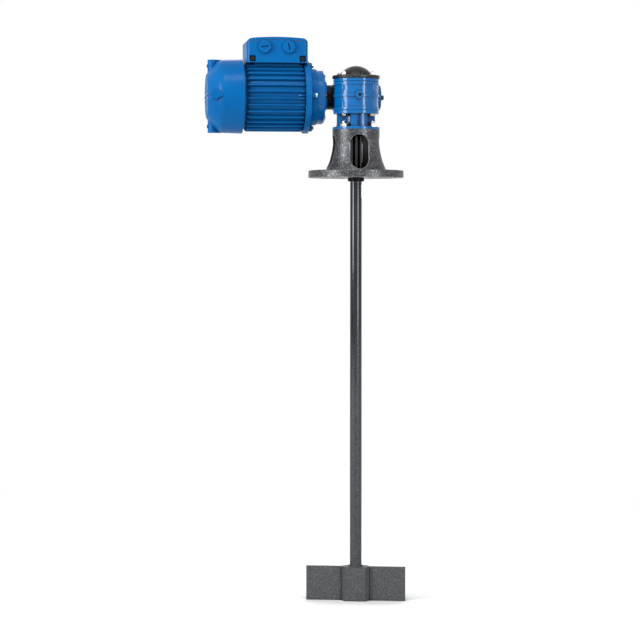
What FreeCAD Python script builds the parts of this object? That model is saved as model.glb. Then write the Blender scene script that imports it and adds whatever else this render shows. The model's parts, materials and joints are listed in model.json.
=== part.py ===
import FreeCAD, Part

import math
import os

import Sketcher
from FreeCAD import Placement, Rotation, Vector

# Electric tank agitator: a flange motor drives a worm gear unit, whose hollow output shaft
# turns a long stirring shaft with a two-blade paddle. All lengths are in millimetres.
# The frame: origin on the shaft axis at the underside of the tank flange, +Z up,
# +X away from the motor, -Y to the side with the oil level plug.

SIZES = {
    # Stirring shaft, from the gear unit down to the paddle
    "shaft_dia": 25.0,
    "shaft_recess": 7.0,
    "shaft_end_chamfer": 1.5,
    "flat_depth": 2.0,
    "flat_reach": 42.6,
    "flat_top": 14.0,
    # Paddle, with its lower edge measured down from the tank flange
    "paddle_drop": 902.0,
    "paddle_width": 212.5,
    "paddle_height": 73.0,
    "paddle_turn": -13.0,
    "blade_thickness": 8.0,
    "blade_edge_radius": 2.0,
    "boss_front_width": 43.5,
    "boss_base_width": 62.0,
    "boss_depth": 35.0,
    "weld_size": 5.5,
    # Tank flange and lantern
    "flange_dia": 202.0,
    "flange_thickness": 15.5,
    "flange_pitch_dia": 165.0,
    "flange_hole_dia": 11.5,
    "flange_edge_chamfer": 1.0,
    "lantern_top": 102.0,
    "lantern_base_dia": 129.0,
    "lantern_neck_dia": 100.0,
    "lantern_neck_height": 88.0,
    "lantern_side_arc": 190.0,
    "lantern_wall": 10.0,
    "lantern_pilot_dia": 60.0,
    "lantern_pilot_depth": 3.0,
    "floor_bore_dia": 40.0,
    "lantern_roof": 10.5,
    "lantern_base_fillet": 3.0,
    "window_width": 40.0,
    "window_height": 72.0,
    "window_middle": 54.2,
    # Guide bearing in the tank flange, with its locking collar under the flange
    "guide_outer_dia": 52.0,
    "guide_width": 12.0,
    "guide_split_dia": 35.6,
    "collar_dia": 35.0,
    "collar_drop": 7.5,
    "grub_dia": 5.0,
    "grub_socket_depth": 1.3,
    # Output flange between gear unit and lantern
    "bottom_plate": 5.0,
    "bottom_plate_dia": 100.6,
    "top_plate": 7.5,
    "top_plate_dia": 97.4,
    "neck_height": 27.5,
    "neck_dia": 60.0,
    "lobe_reach": 41.0,
    "lobe_width": 33.0,
    "lobe_groove": 7.0,
    "lobe_groove_depth": 3.0,
    "stud_circle_dia": 88.0,
    "stud_dia": 8.0,
    "stud_depth": 16.0,
    "nut_flats": 13.0,
    "nut_height": 6.5,
    "stud_proud": 5.0,
    "housing_screw_dia": 6.0,
    "housing_screw_circle_dia": 84.0,
    "housing_screw_head": 5.0,
    "housing_screw_depth": 11.0,
    # Gear housing
    "housing_dia": 97.4,
    "housing_height": 67.0,
    "drive_rise": 31.0,
    "housing_bottom_rim": 6.0,
    "housing_top_rim": 13.4,
    "rim_groove": 1.2,
    "rim_groove_drop": 7.0,
    "joint_chamfer": 0.7,
    "waist_depth": 2.0,
    "column_dia": 11.5,
    "column_length": 14.3,
    "column_tip": 3.0,
    "column_taper": 38.0,
    "column_circle_dia": 87.0,
    "joint_rib": 6.0,
    "gear_cavity_dia": 85.0,
    "gear_cavity_height": 27.0,
    "wheel_bearing_lip_dia": 56.0,
    "oil_boss_dia": 17.8,
    "oil_boss_reach": 52.0,
    "oil_plug_dia": 12.0,
    "oil_plug_depth": 10.0,
    "oil_plug_socket": 6.8,
    "oil_plug_socket_depth": 5.5,
    "oil_plug_head": 2.0,
    "worm_tube_dia": 58.0,
    "worm_tube_input_reach": 43.0,
    "worm_tube_end_reach": 56.0,
    "end_cover": 4.6,
    "end_cover_dia": 53.6,
    "end_nub_dia": 9.0,
    "end_nub_reach": 6.0,
    "neck_ring_dia": 52.6,
    "neck_ring_length": 19.0,
    # Worm set
    "worm_module": 2.5,
    "wheel_teeth": 30.0,
    "worm_pitch_dia": 25.0,
    "tooth_thinning": 0.15,
    "tooth_tip_share": 0.368,
    "tooth_root_share": 0.948,
    "worm_turns": 6.0,
    "wheel_face": 22.0,
    "wheel_ring_bore": 48.0,
    "wheel_edge_chamfer": 1.2,
    "output_sleeve_dia": 40.0,
    "sleeve_recess": 1.0,
    "sleeve_shoulder_dia": 44.0,
    "sleeve_key_width": 8.0,
    "sleeve_key_height": 7.0,
    "sleeve_key_length": 50.0,
    "key_depth": 4.0,
    "output_seal_dia": 55.0,
    "output_seal_width": 7.0,
    "output_bore_gap": 1.5,
    "wheel_bearing_dia": 68.0,
    "wheel_bearing_width": 15.0,
    # Worm shaft and its bearings
    "input_bearing_bore": 30.0,
    "input_bearing_width": 9.0,
    "worm_bearing_dia": 47.0,
    "end_bearing_bore": 20.0,
    "end_bearing_width": 14.0,
    "worm_bore_clearance": 1.8,
    "worm_shoulder": 1.3,
    "worm_seat_clearance": 0.2,
    "worm_root_clearance": 0.2,
    "pressure_angle": 20.0,
    "thread_sink": 0.5,
    "worm_relief": 27.0,
    "worm_seal_width": 7.0,
    # Top cover over the output sleeve
    "cover_flange": 6.7,
    "cover_flange_dia": 100.6,
    "dome_dia": 70.0,
    "dome_height": 21.0,
    "dome_wall": 4.0,
    "dome_foot_radius": 1.5,
    "cover_spigot_dia": 80.0,
    "cover_spigot_length": 19.0,
    "cover_bolt_circle_dia": 87.0,
    "cover_bolt_dia": 6.0,
    "cover_bolt_head": 8.0,
    "cover_bolt_flats": 10.0,
    "cover_bolt_depth": 16.0,
    "retainer_dia": 34.0,
    "retainer_thickness": 5.0,
    "retainer_bolt_dia": 10.0,
    "retainer_bolt_flats": 17.0,
    "retainer_bolt_head": 6.5,
    "retainer_bolt_depth": 25.0,
    # Input flange between gear unit and motor
    "motor_face": 80.0,
    "input_flange_dia": 116.0,
    "input_flange_lip": 5.0,
    "input_flange_shoulder_dia": 104.0,
    "motor_bolt_circle_dia": 100.0,
    "motor_bolt_dia": 6.0,
    "motor_bolt_head": 4.5,
    "motor_bolt_flats": 10.0,
    "motor_bolt_depth": 8.0,
    "scallop_dia": 26.0,
    "scallop_depth": 3.3,
    "scallop_circle_dia": 92.0,
    # Motor: front end shield, finned frame, rear end shield
    "front_barrel_dia": 120.0,
    "front_barrel_length": 16.8,
    "front_ring_dia": 152.0,
    "front_ring_length": 12.0,
    "shield_face": 9.0,
    "shield_barrel_wall": 9.0,
    "bearing_housing_wall": 8.5,
    "shield_spigot_wall": 5.0,
    "motor_bearing_start": 4.0,
    "pilot_dia": 80.0,
    "pilot_length": 3.0,
    "shield_spigot": 4.0,
    "lug_radius": 11.5,
    "lug_circle_dia": 132.0,
    "lug_boss_dia": 14.5,
    "lug_boss_length": 8.0,
    "frame_lug_dia": 7.4,
    "shield_bolt_dia": 5.0,
    "shield_bolt_head": 4.0,
    "shield_bolt_flats": 8.0,
    "shield_bolt_depth": 14.0,
    "frame_length": 126.0,
    "frame_bore": 124.0,
    "frame_root_dia": 134.0,
    "fin_tip_dia": 148.0,
    "fin_thickness": 2.8,
    "fin_count": 32.0,
    "fin_slope": 5.0,
    "fin_end_run": 9.0,
    "rear_shield_length": 14.0,
    "rear_shield_dia": 137.0,
    "motor_bearing_dia": 47.0,
    "motor_bearing_width": 14.0,
    "bearing_inner_share": 0.3,
    "bearing_gap": 0.3,
    # Motor core, rotor and shaft
    "core_length": 80.0,
    "core_bore": 75.0,
    "core_slots": 24.0,
    "slot_width": 4.6,
    "slot_depth": 13.0,
    "slot_start": 2.0,
    "coil_fit": 0.2,
    "end_turn_length": 16.0,
    "air_gap": 0.4,
    "short_ring_length": 6.0,
    "short_ring_step": 4.0,
    "rotor_journal_dia": 20.0,
    "rotor_body_dia": 26.0,
    "output_journal_dia": 19.0,
    "output_journal_length": 40.0,
    "motor_key_width": 6.0,
    "motor_key_length": 28.0,
    "motor_key_depth": 3.5,
    "motor_seal_width": 4.0,
    "fan_journal_dia": 16.0,
    "fan_journal_end": 3.6,
    # Fan and fan cowl
    "fan_dia": 96.0,
    "fan_hub_dia": 30.0,
    "fan_length": 24.0,
    "fan_plate": 2.5,
    "fan_blades": 8.0,
    "fan_blade_thickness": 2.4,
    "fan_gap": 5.0,
    "clip_dia": 22.0,
    "clip_thickness": 1.2,
    "cowl_gap": 4.0,
    "cowl_length": 75.0,
    "cowl_rim_dia": 157.0,
    "cowl_back_dia": 154.6,
    "cowl_shoulder_start": 39.0,
    "cowl_shoulder_dia": 143.7,
    "cowl_shoulder_depth": 53.7,
    "cowl_shoulder_arc": 22.0,
    "cowl_shoulder_lean": 42.0,
    "cowl_crown_arc": 127.0,
    "grille_dia": 93.0,
    "cowl_wall": 1.6,
    "cowl_boss_width": 20.0,
    "cowl_boss_length": 33.0,
    "cowl_boss_inset": 2.5,
    "cowl_screw_circle_dia": 128.0,
    "cowl_screw_sink": 1.8,
    "cowl_post_dia": 12.0,
    "cowl_screw_dia": 5.0,
    "cowl_screw_head_dia": 7.5,
    "cowl_screw_head": 3.2,
    "grille_slot_width": 3.4,
    "grille_slots": 24.0,
    "grille_inner_dia": 22.0,
    "grille_bridge": 4.0,
    # Terminal box on the motor
    "box_length": 130.0,
    "box_width": 104.0,
    "box_height": 37.0,
    "box_corner_radius": 9.0,
    "box_inner_radius": 36.0,
    "box_corner_run": 12.0,
    "box_corner_drop": 8.0,
    "box_corner_arc": 14.0,
    "box_crown": 2.5,
    "box_wall": 3.5,
    "box_floor": 4.0,
    "box_base": 69.0,
    "box_overhang": 6.7,
    "pad_length": 96.0,
    "pad_width": 72.0,
    "pocket_size": 13.0,
    "pocket_height": 13.0,
    "pocket_low": 2.0,
    "pocket_depth": 8.5,
    "pocket_inset": 12.0,
    "gasket": 1.0,
    "lid_thickness": 5.5,
    "lid_screw_floor": 1.8,
    "lid_screw_dia": 5.0,
    "lid_screw_inset": 9.0,
    "lid_screw_depth": 14.0,
    "lid_screw_head": 2.2,
    "lid_screw_head_dia": 9.0,
    "box_screw_head_dia": 9.0,
    "box_screw_head": 6.0,
    "entry_plug_dia": 28.5,
    "entry_plug_head": 5.0,
    "entry_thread_dia": 20.0,
    "entry_bore_depth": 10.0,
    "entry_first": 37.5,
    "entry_second": 89.0,
    "entry_height": 33.0,
    "plug_slot_width": 3.0,
    "plug_slot_depth": 2.0,
    "board_length": 62.0,
    "board_width": 40.0,
    "board_thickness": 9.0,
    "terminal_dia": 5.0,
    "terminal_length": 15.0,
    "terminal_pitch": 18.0,
    "terminal_rows": 20.0,
    # Clearances that the fits share
    "running_fit": 0.05,
    "bolt_clearance": 0.3,
    "free_gap": 0.5,
}

QUARTER_TURNS = 4
CROSS_TURN = 45.0
FULL_TURN = 360.0

doc = FreeCAD.newDocument("TankAgitator")


class Size:
    """A number together with the sheet formula that gives it."""

    def __init__(self, value, formula):
        self.value = value
        self.formula = formula

    def __add__(self, other):
        other = as_size(other)
        return Size(self.value + other.value, f"({self.formula} + {other.formula})")

    def __sub__(self, other):
        other = as_size(other)
        return Size(self.value - other.value, f"({self.formula} - {other.formula})")

    def __mul__(self, other):
        other = as_size(other)
        return Size(self.value * other.value, f"({self.formula} * {other.formula})")

    def __truediv__(self, other):
        other = as_size(other)
        return Size(self.value / other.value, f"({self.formula} / {other.formula})")

    def __radd__(self, other):
        return as_size(other) + self

    def __rsub__(self, other):
        return as_size(other) - self

    def __rmul__(self, other):
        return as_size(other) * self

    def __neg__(self):
        return Size(-self.value, f"(0 - {self.formula})")


def as_size(number):
    """A plain number as a size; a size stays as it is."""
    if isinstance(number, Size):
        return number
    return Size(float(number), f"({float(number)})")


def root(size):
    """Square root of a size."""
    return Size(math.sqrt(size.value), f"sqrt({size.formula})")


def cosine(degrees):
    """Cosine of an angle in degrees."""
    degrees = as_size(degrees)
    return Size(math.cos(math.radians(degrees.value)), f"cos({degrees.formula})")


def sine(degrees):
    """Sine of an angle in degrees."""
    degrees = as_size(degrees)
    return Size(math.sin(math.radians(degrees.value)), f"sin({degrees.formula})")


class Sheet:
    """The spreadsheet of driving dimensions, read as attributes."""

    def __init__(self, table):
        self.page = doc.addObject("Spreadsheet::Sheet", "Sizes")
        for row, (name, value) in enumerate(table.items(), start=1):
            self.page.set(f"A{row}", name)
            self.page.set(f"B{row}", str(value))
            self.page.setAlias(f"B{row}", name)
        doc.recompute()

    def __getattr__(self, name):
        return Size(float(self.page.get(name)), f"Sizes.{name}")


s = Sheet(SIZES)


def bind(thing, field, size):
    """Tie a property of a document object to a sheet formula."""
    thing.setExpression(field, as_size(size).formula)


class Piece:
    """One sub-part: a body with a label, a place in the frame and its features."""

    def __init__(self, label, base=(0, 0, 0), rotation=Rotation()):
        self.body = doc.addObject("PartDesign::Body", label)
        self.body.Label = label
        self.body.Placement = Placement(Vector(0, 0, 0), rotation)
        for axis, size in zip("xyz", base):
            bind(self.body, f"Placement.Base.{axis}", size)

    def origin(self, role):
        """A plane or axis of the body's own origin."""
        for item in self.body.Origin.OriginFeatures:
            if item.Role == role:
                return item
        raise LookupError(role)

    def volume(self):
        """Volume of the body as built so far."""
        return self.body.Tip.Shape.Volume if self.body.Tip else 0.0

    def sketch(self, plane="XY_Plane", offset=0):
        """An empty sketch on one of the body's origin planes, moved along its normal."""
        sketch = self.body.newObject("Sketcher::SketchObject", "Sketch")
        sketch.AttachmentSupport = (self.origin(plane), [""])
        sketch.MapMode = "FlatFace"
        bind(sketch, "AttachmentOffset.Base.z", offset)
        return sketch

    def close(self, feature, before, cut):
        """Recompute a new feature and see that it added or removed material."""
        doc.recompute()
        change = feature.Shape.Volume - before
        if "Invalid" in feature.State or "Error" in feature.State:
            raise RuntimeError(f"{self.body.Label}: {feature.Name} failed")
        if (cut and change > -1e-6) or (not cut and change < 1e-6):
            raise RuntimeError(f"{self.body.Label}: {feature.Name} changed nothing")
        return feature

    def turn(self, points, cut=False):
        """Revolve a closed half section, given as (radius, height) corners, about Z."""
        before = self.volume()
        sketch = self.sketch("XZ_Plane")
        draw_outline(sketch, points)
        kind = "Groove" if cut else "Revolution"
        feature = self.body.newObject("PartDesign::" + kind, kind)
        feature.Profile = sketch
        feature.ReferenceAxis = (sketch, ["V_Axis"])
        feature.Angle = FULL_TURN
        return self.close(feature, before, cut)

    def extrude(self, sketch, length, cut=False, both=False, slant=None, down=False, taper=None):
        """Pad or pocket a sketch along its normal, against it or evenly to both sides of it."""
        before = self.volume()
        kind = "Pocket" if cut else "Pad"
        feature = self.body.newObject("PartDesign::" + kind, kind)
        feature.Profile = sketch
        bind(feature, "Length", length)
        if both:
            feature.SideType = "Symmetric"
        if slant is not None:
            feature.UseCustomVector = True
            feature.Direction = slant
            feature.AlongSketchNormal = False
        if taper is not None:
            bind(feature, "TaperAngle", -taper)
        feature.Reversed = cut or down
        return self.close(feature, before, cut)

    def polar(self, features, count, cut=False):
        """Repeat features evenly about the body's Z axis."""
        before = self.volume()
        pattern = self.body.newObject("PartDesign::PolarPattern", "PolarPattern")
        pattern.Originals = features
        pattern.Axis = (self.origin("Z_Axis"), [""])
        pattern.Angle = FULL_TURN
        bind(pattern, "Occurrences", count)
        self.body.Tip = pattern
        return self.close(pattern, before, cut)

    def ease(self, kind, size, test):
        """Fillet or chamfer every edge of the body that passes the test."""
        base = self.body.Tip
        edges = base.Shape.Edges
        names = [f"Edge{number}" for number, edge in enumerate(edges, start=1) if test(edge)]
        if not names:
            raise RuntimeError(f"{self.body.Label}: no edge to {kind}")
        feature = self.body.newObject("PartDesign::" + kind, kind)
        feature.Base = (base, names)
        bind(feature, "Radius" if kind == "Fillet" else "Size", size)
        doc.recompute()
        if feature.Shape.isNull() or not feature.Shape.isValid():
            raise RuntimeError(f"{self.body.Label}: {kind} failed")
        return feature


def near(value, target, margin=0.01):
    """True when a measured number meets a size."""
    return abs(value - as_size(target).value) < margin


def ring_edge(radius, height):
    """Test for the full circle of a radius at a height along Z."""
    def test(edge):
        box = edge.BoundBox
        flat = near(box.ZMin, height) and near(box.ZMax, height)
        return flat and near(box.XMax, radius) and near(box.XMin, -as_size(radius))
    return test


def upright(edge):
    """Test for straight edges parallel to Z."""
    box = edge.BoundBox
    return box.XLength < 0.01 and box.YLength < 0.01 and box.ZLength > 0.5


def dimension(sketch, kind, places, size):
    """Add one dimension to a sketch and tie it to its formula."""
    size = as_size(size)
    number = sketch.addConstraint(Sketcher.Constraint(kind, *places, size.value))
    sketch.setExpression(f"Constraints[{number}]", size.formula)


def place_point(sketch, item, vertex, across, up):
    """Dimension a point of the sketch from the sketch origin."""
    dimension(sketch, "DistanceX", (-1, 1, item, vertex), across)
    dimension(sketch, "DistanceY", (-1, 1, item, vertex), up)


def arc_middle(start, end, radius):
    """Middle point of an arc; a positive radius has its centre left of the travel."""
    chord = end - start
    half = chord.Length / 2
    left = Vector(-chord.y, chord.x, 0).normalize()
    reach = math.sqrt(max(radius * radius - half * half, 0.0))
    sign = 1.0 if radius > 0 else -1.0
    return (start + end) * 0.5 + left * sign * (reach - abs(radius))


def vertex_at(sketch, item, point):
    """Which end of a line or arc lies at the point: 1 for its start, 2 for its end."""
    start_miss = (sketch.getPoint(item, 1) - point).Length
    end_miss = (sketch.getPoint(item, 2) - point).Length
    return 1 if start_miss <= end_miss else 2


def draw_outline(sketch, points):
    """Close an outline of corners (across, up) or (across, up, radius of the arc to the next)."""
    first = sketch.GeometryCount
    count = len(points)
    corners = [(as_size(point[0]), as_size(point[1])) for point in points]
    spots = [Vector(across.value, up.value, 0) for across, up in corners]
    for index, point in enumerate(points):
        start = spots[index]
        end = spots[(index + 1) % count]
        if len(point) == 3:
            middle = arc_middle(start, end, as_size(point[2]).value)
            sketch.addGeometry(Part.Arc(start, middle, end), False)
        else:
            sketch.addGeometry(Part.LineSegment(start, end), False)
    for index, point in enumerate(points):
        item = first + index
        following = first + (index + 1) % count
        joint = spots[(index + 1) % count]
        here = vertex_at(sketch, item, joint)
        there = vertex_at(sketch, following, joint)
        sketch.addConstraint(Sketcher.Constraint("Coincident", item, here, following, there))
    for index, point in enumerate(points):
        item = first + index
        place_point(sketch, item, vertex_at(sketch, item, spots[index]), *corners[index])
        if len(point) == 3:
            radius = as_size(point[2])
            radius = radius if radius.value > 0 else -radius
            dimension(sketch, "Radius", (item,), radius)


def draw_circle(sketch, across, up, diameter):
    """A circle with its centre dimensioned from the sketch origin."""
    across, up, radius = as_size(across), as_size(up), as_size(diameter) / 2
    middle = Vector(across.value, up.value, 0)
    item = sketch.addGeometry(Part.Circle(middle, Vector(0, 0, 1), radius.value), False)
    place_point(sketch, item, 3, across, up)
    dimension(sketch, "Radius", (item,), radius)


def draw_hexagon(sketch, across, up, flats):
    """A hexagon of a width across flats, with two flats facing up and down."""
    corner = flats / root(as_size(3))
    points = []
    for index in range(6):
        reach = corner * cosine(60 * index)
        rise = corner * sine(60 * index)
        points.append((across + reach, up + rise))
    draw_outline(sketch, points)


def draw_box(sketch, across, up, width, height, radius=None):
    """A rectangle about a centre, with rounded corners when a radius is given."""
    left, right = across - width / 2, across + width / 2
    low, high = up - height / 2, up + height / 2
    if radius is None:
        draw_outline(sketch, [(left, low), (right, low), (right, high), (left, high)])
        return
    draw_outline(sketch, [
        (left + radius, low),
        (right - radius, low, radius),
        (right, low + radius),
        (right, high - radius, radius),
        (right - radius, high),
        (left + radius, high, radius),
        (left, high - radius),
        (left, low + radius, radius),
    ])


def draw_slot(sketch, across, up, width, height):
    """An upright slot with round ends about a centre."""
    half = width / 2
    low, high = up - height / 2 + half, up + height / 2 - half
    draw_outline(sketch, [
        (across + half, low),
        (across + half, high, half),
        (across, high + half, half),
        (across - half, high),
        (across - half, low, half),
        (across, low - half, half),
    ])


def around(circle_dia, turn=0.0):
    """Four points evenly spaced on a circle, the first at an angle from the X axis."""
    points = []
    for index in range(QUARTER_TURNS):
        angle = turn + index * FULL_TURN / QUARTER_TURNS
        points.append((circle_dia / 2 * cosine(angle), circle_dia / 2 * sine(angle)))
    return points


# Heights and lengths that several pieces share

NECK_BOTTOM = s.lantern_top + s.bottom_plate
NECK_TOP = NECK_BOTTOM + s.neck_height
HOUSING_BOTTOM = NECK_TOP + s.top_plate
HOUSING_TOP = HOUSING_BOTTOM + s.housing_height
DRIVE_HEIGHT = HOUSING_BOTTOM + s.drive_rise
CENTRE_DISTANCE = (s.worm_pitch_dia + s.worm_module * s.wheel_teeth) / 2
WHEEL_TIP_RADIUS = s.worm_module * (s.wheel_teeth / 2 + 1)
WHEEL_ROOT_RADIUS = s.worm_module * (s.wheel_teeth / 2 - 1 - s.worm_root_clearance)
WORM_TIP_RADIUS = s.worm_pitch_dia / 2 + s.worm_module
WORM_ROOT_RADIUS = s.worm_pitch_dia / 2 - s.worm_module * (1 + s.worm_root_clearance)
PITCH = math.pi * s.worm_module
LOWER_BEARING = HOUSING_BOTTOM
SLEEVE_TOP = HOUSING_TOP - s.sleeve_recess
SLEEVE_BOTTOM = HOUSING_BOTTOM - s.output_seal_width - s.free_gap
SHAFT_TOP = SLEEVE_TOP - s.shaft_recess
UPPER_BEARING = SLEEVE_TOP - s.wheel_bearing_width
COVER_TOP = HOUSING_TOP + s.cover_flange
DOME_TOP = COVER_TOP + s.dome_height
WHEEL_BOTTOM = DRIVE_HEIGHT - s.wheel_face / 2
WHEEL_TOP = DRIVE_HEIGHT + s.wheel_face / 2

# Lengths along the drive line, which runs from the worm towards the fan

SEAL_START = s.worm_tube_input_reach
NECK_RING_END = SEAL_START + s.neck_ring_length
INPUT_BEARING = SEAL_START - s.input_bearing_width - s.worm_seat_clearance
END_BEARING = s.worm_seat_clearance - s.worm_tube_end_reach
BARREL_END = s.motor_face + s.front_barrel_length
FRAME_START = BARREL_END + s.front_ring_length
FRAME_END = FRAME_START + s.frame_length
SHIELD_END = FRAME_END + s.rear_shield_length
FRONT_BEARING = s.motor_face + s.motor_bearing_start
REAR_BEARING = SHIELD_END - s.motor_bearing_start - s.motor_bearing_width
CORE_START = (FRAME_START + FRAME_END - s.core_length) / 2
CORE_END = CORE_START + s.core_length
FAN_START = SHIELD_END + s.fan_gap
FAN_END = FAN_START + s.fan_length
COWL_START = FRAME_END + s.cowl_gap
COWL_END = COWL_START + s.cowl_length
BOX_MIDDLE = FRAME_START - s.box_overhang + s.box_length / 2
BOX_BOTTOM = DRIVE_HEIGHT + s.box_base

# The drive line's own axes: X to the front, Y up, Z from the worm towards the fan
DRIVE_BASE = (0, CENTRE_DISTANCE, DRIVE_HEIGHT)
DRIVE_TURN = Rotation(Vector(0, -1, 0), Vector(0, 0, 1), Vector(-1, 0, 0), "XYZ")


def drive_piece(label):
    """A piece that is built along the drive line."""
    return Piece(label, DRIVE_BASE, DRIVE_TURN)


def paddle_piece(label):
    """A piece of the paddle, turned to where the paddle stands at rest."""
    return Piece(label, (0, 0, -s.paddle_drop), Rotation(Vector(0, 0, 1), s.paddle_turn.value))


def bored(diameter):
    """Radius of a bore that takes a shaft of a diameter with the running fit."""
    return diameter / 2 + s.running_fit


def inner_ring(bore, outer, start, width):
    """Half section of a bearing's inner ring."""
    inside = bored(bore)
    outside = bore / 2 + (outer - bore) / 2 * s.bearing_inner_share
    return [(inside, start), (outside, start), (outside, start + width), (inside, start + width)]


def outer_ring(bore, outer, start, width):
    """Half section of a bearing's outer ring with its two shields."""
    inside = bore / 2 + (outer - bore) / 2 * s.bearing_inner_share + s.bearing_gap
    outside = outer / 2 - s.running_fit
    return [(inside, start), (outside, start), (outside, start + width), (inside, start + width)]


def crown_arc(width, rise):
    """Radius of an arc that rises by an amount over a width."""
    return (width * width / 4 + rise * rise) / (rise * 2)


def spoke(start, end, width, angle):
    """Corners of a bar that runs outward from the axis at an angle."""
    along_x, along_y = cosine(angle), sine(angle)
    side = width / 2
    return [
        (start * along_x + side * along_y, start * along_y - side * along_x),
        (end * along_x + side * along_y, end * along_y - side * along_x),
        (end * along_x - side * along_y, end * along_y + side * along_x),
        (start * along_x - side * along_y, start * along_y + side * along_x),
    ]


def screws(piece, points, head, flats, shank_dia, shank_start, shank_length, head_start):
    """Hex screws, all alike, at points of a plane across Z: heads first, then shanks."""
    sketch = piece.sketch("XY_Plane", head_start)
    for across, up in points:
        draw_hexagon(sketch, across, up, flats)
    piece.extrude(sketch, head)
    sketch = piece.sketch("XY_Plane", shank_start)
    for across, up in points:
        draw_circle(sketch, across, up, shank_dia)
    piece.extrude(sketch, shank_length)
    return piece


def bore_circles(piece, points, diameter, start, depth):
    """Round holes at points of a plane across Z."""
    sketch = piece.sketch("XY_Plane", start)
    for across, up in points:
        draw_circle(sketch, across, up, diameter)
    return piece.extrude(sketch, depth, cut=True)


# Stirring shaft and paddle


def agitator_shaft():
    """Ground bar with a key seat at the gear unit and a flat under the tank flange."""
    piece = Piece("agitator_shaft")
    radius = s.shaft_dia / 2
    piece.turn([(0, -s.paddle_drop), (radius, -s.paddle_drop), (radius, SHAFT_TOP), (0, SHAFT_TOP)])
    sketch = piece.sketch("XY_Plane", -s.flat_reach)
    draw_box(sketch, radius, 0, s.flat_depth * 2, s.shaft_dia)
    piece.extrude(sketch, s.flat_reach - s.flat_top, cut=True)
    sketch = piece.sketch("YZ_Plane", radius - s.key_depth)
    draw_slot(sketch, 0, DRIVE_HEIGHT, s.sleeve_key_width, s.sleeve_key_length)
    piece.extrude(sketch, s.key_depth * 2, cut=True)
    depth = s.retainer_bolt_depth
    bore_circles(piece, [(0, 0)], bored(s.retainer_bolt_dia) * 2, SHAFT_TOP - depth, depth * 2)
    piece.ease("Chamfer", s.shaft_end_chamfer, ring_edge(radius, SHAFT_TOP))
    return piece


def boss_corner():
    """Half sizes of the paddle boss: the broad face, its distance out and the base."""
    return s.boss_front_width / 2, s.boss_depth / 2, s.boss_base_width / 2


def paddle_boss():
    """Eight-sided block, bored for the shaft, with a sloping cheek beside each blade."""
    piece = paddle_piece("paddle_boss")
    front, depth, base = boss_corner()
    side = s.blade_thickness / 2
    sketch = piece.sketch()
    draw_outline(sketch, [
        (front, -depth), (base, -side), (base, side), (front, depth),
        (-front, depth), (-base, side), (-base, -side), (-front, -depth),
    ])
    draw_circle(sketch, 0, 0, bored(s.shaft_dia) * 2)
    piece.extrude(sketch, s.paddle_height)
    return piece


def blade(label, hand):
    """Flat blade beside the boss; hand is 1 for the right one and -1 for the left one."""
    piece = paddle_piece(label)
    base = s.boss_base_width / 2
    length = s.paddle_width / 2 - base
    sketch = piece.sketch()
    draw_box(sketch, hand * (base + length / 2), 0, length, s.blade_thickness)
    piece.extrude(sketch, s.paddle_height)
    tip = hand * s.paddle_width.value / 2
    piece.ease("Fillet", s.blade_edge_radius, lambda edge: near(edge.CenterOfMass.x, tip) and upright(edge))
    return piece


def weld_beads():
    """Fillet welds: a ring where the shaft enters the boss and a bead in each blade corner."""
    piece = paddle_piece("paddle_welds")
    inside = bored(s.shaft_dia)
    top = s.paddle_height
    piece.turn([(inside, top), (inside + s.weld_size, top), (inside, top + s.weld_size)])
    front, depth, base = boss_corner()
    side = s.blade_thickness / 2
    slope = root((base - front) * (base - front) + (depth - side) * (depth - side))
    bead = s.weld_size / 2
    back, rise = bead * (base - front) / slope, bead * (depth - side) / slope
    sketch = piece.sketch()
    for across in (1, -1):
        for up in (1, -1):
            draw_outline(sketch, [
                (across * base, up * side),
                (across * (base + bead), up * side),
                (across * (base - back), up * (side + rise)),
            ])
    piece.extrude(sketch, s.paddle_height)
    return piece


# Lantern with the tank flange, and the guide bearing in it


def lantern():
    """Cast bell between the gear unit and the tank, with four oval windows to the shaft."""
    piece = Piece("lantern")
    flange, base, neck = s.flange_dia / 2, s.lantern_base_dia / 2, s.lantern_neck_dia / 2
    pilot = bored(s.lantern_pilot_dia)
    roof = s.lantern_top - s.lantern_roof
    seat = bored(s.guide_outer_dia)
    piece.turn([
        (seat, 0),
        (flange, 0),
        (flange, s.flange_thickness),
        (base, s.flange_thickness, -s.lantern_side_arc),
        (neck, s.lantern_neck_height),
        (neck, s.lantern_top),
        (pilot, s.lantern_top),
        (pilot, roof),
        (neck - s.lantern_wall, roof),
        (neck - s.lantern_wall, s.lantern_neck_height, s.lantern_side_arc),
        (base - s.lantern_wall, s.flange_thickness),
        (s.floor_bore_dia / 2, s.flange_thickness),
        (s.floor_bore_dia / 2, s.guide_width),
        (seat, s.guide_width),
    ])
    piece.ease("Fillet", s.lantern_base_fillet, ring_edge(base, s.flange_thickness))
    piece.ease("Chamfer", s.flange_edge_chamfer, ring_edge(flange, s.flange_thickness))
    for plane in ("XZ_Plane", "YZ_Plane"):
        sketch = piece.sketch(plane)
        draw_slot(sketch, 0, s.window_middle, s.window_width, s.window_height)
        piece.extrude(sketch, s.lantern_base_dia * 2, cut=True, both=True)
    flange_holes = around(s.flange_pitch_dia, CROSS_TURN)
    bore_circles(piece, flange_holes, s.flange_hole_dia, 0, s.flange_thickness)
    stud_holes = around(s.stud_circle_dia, CROSS_TURN)
    bore_circles(piece, stud_holes, bored(s.stud_dia) * 2, s.lantern_top - s.stud_depth, s.stud_depth)
    return piece


def guide_bearing_outer_ring():
    """Outer ring of the guide bearing, pressed into the tank flange."""
    piece = Piece("guide_bearing_outer_ring")
    inside, outside = s.guide_split_dia / 2, s.guide_outer_dia / 2
    piece.turn([(inside, 0), (outside, 0), (outside, s.guide_width), (inside, s.guide_width)])
    return piece


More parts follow.
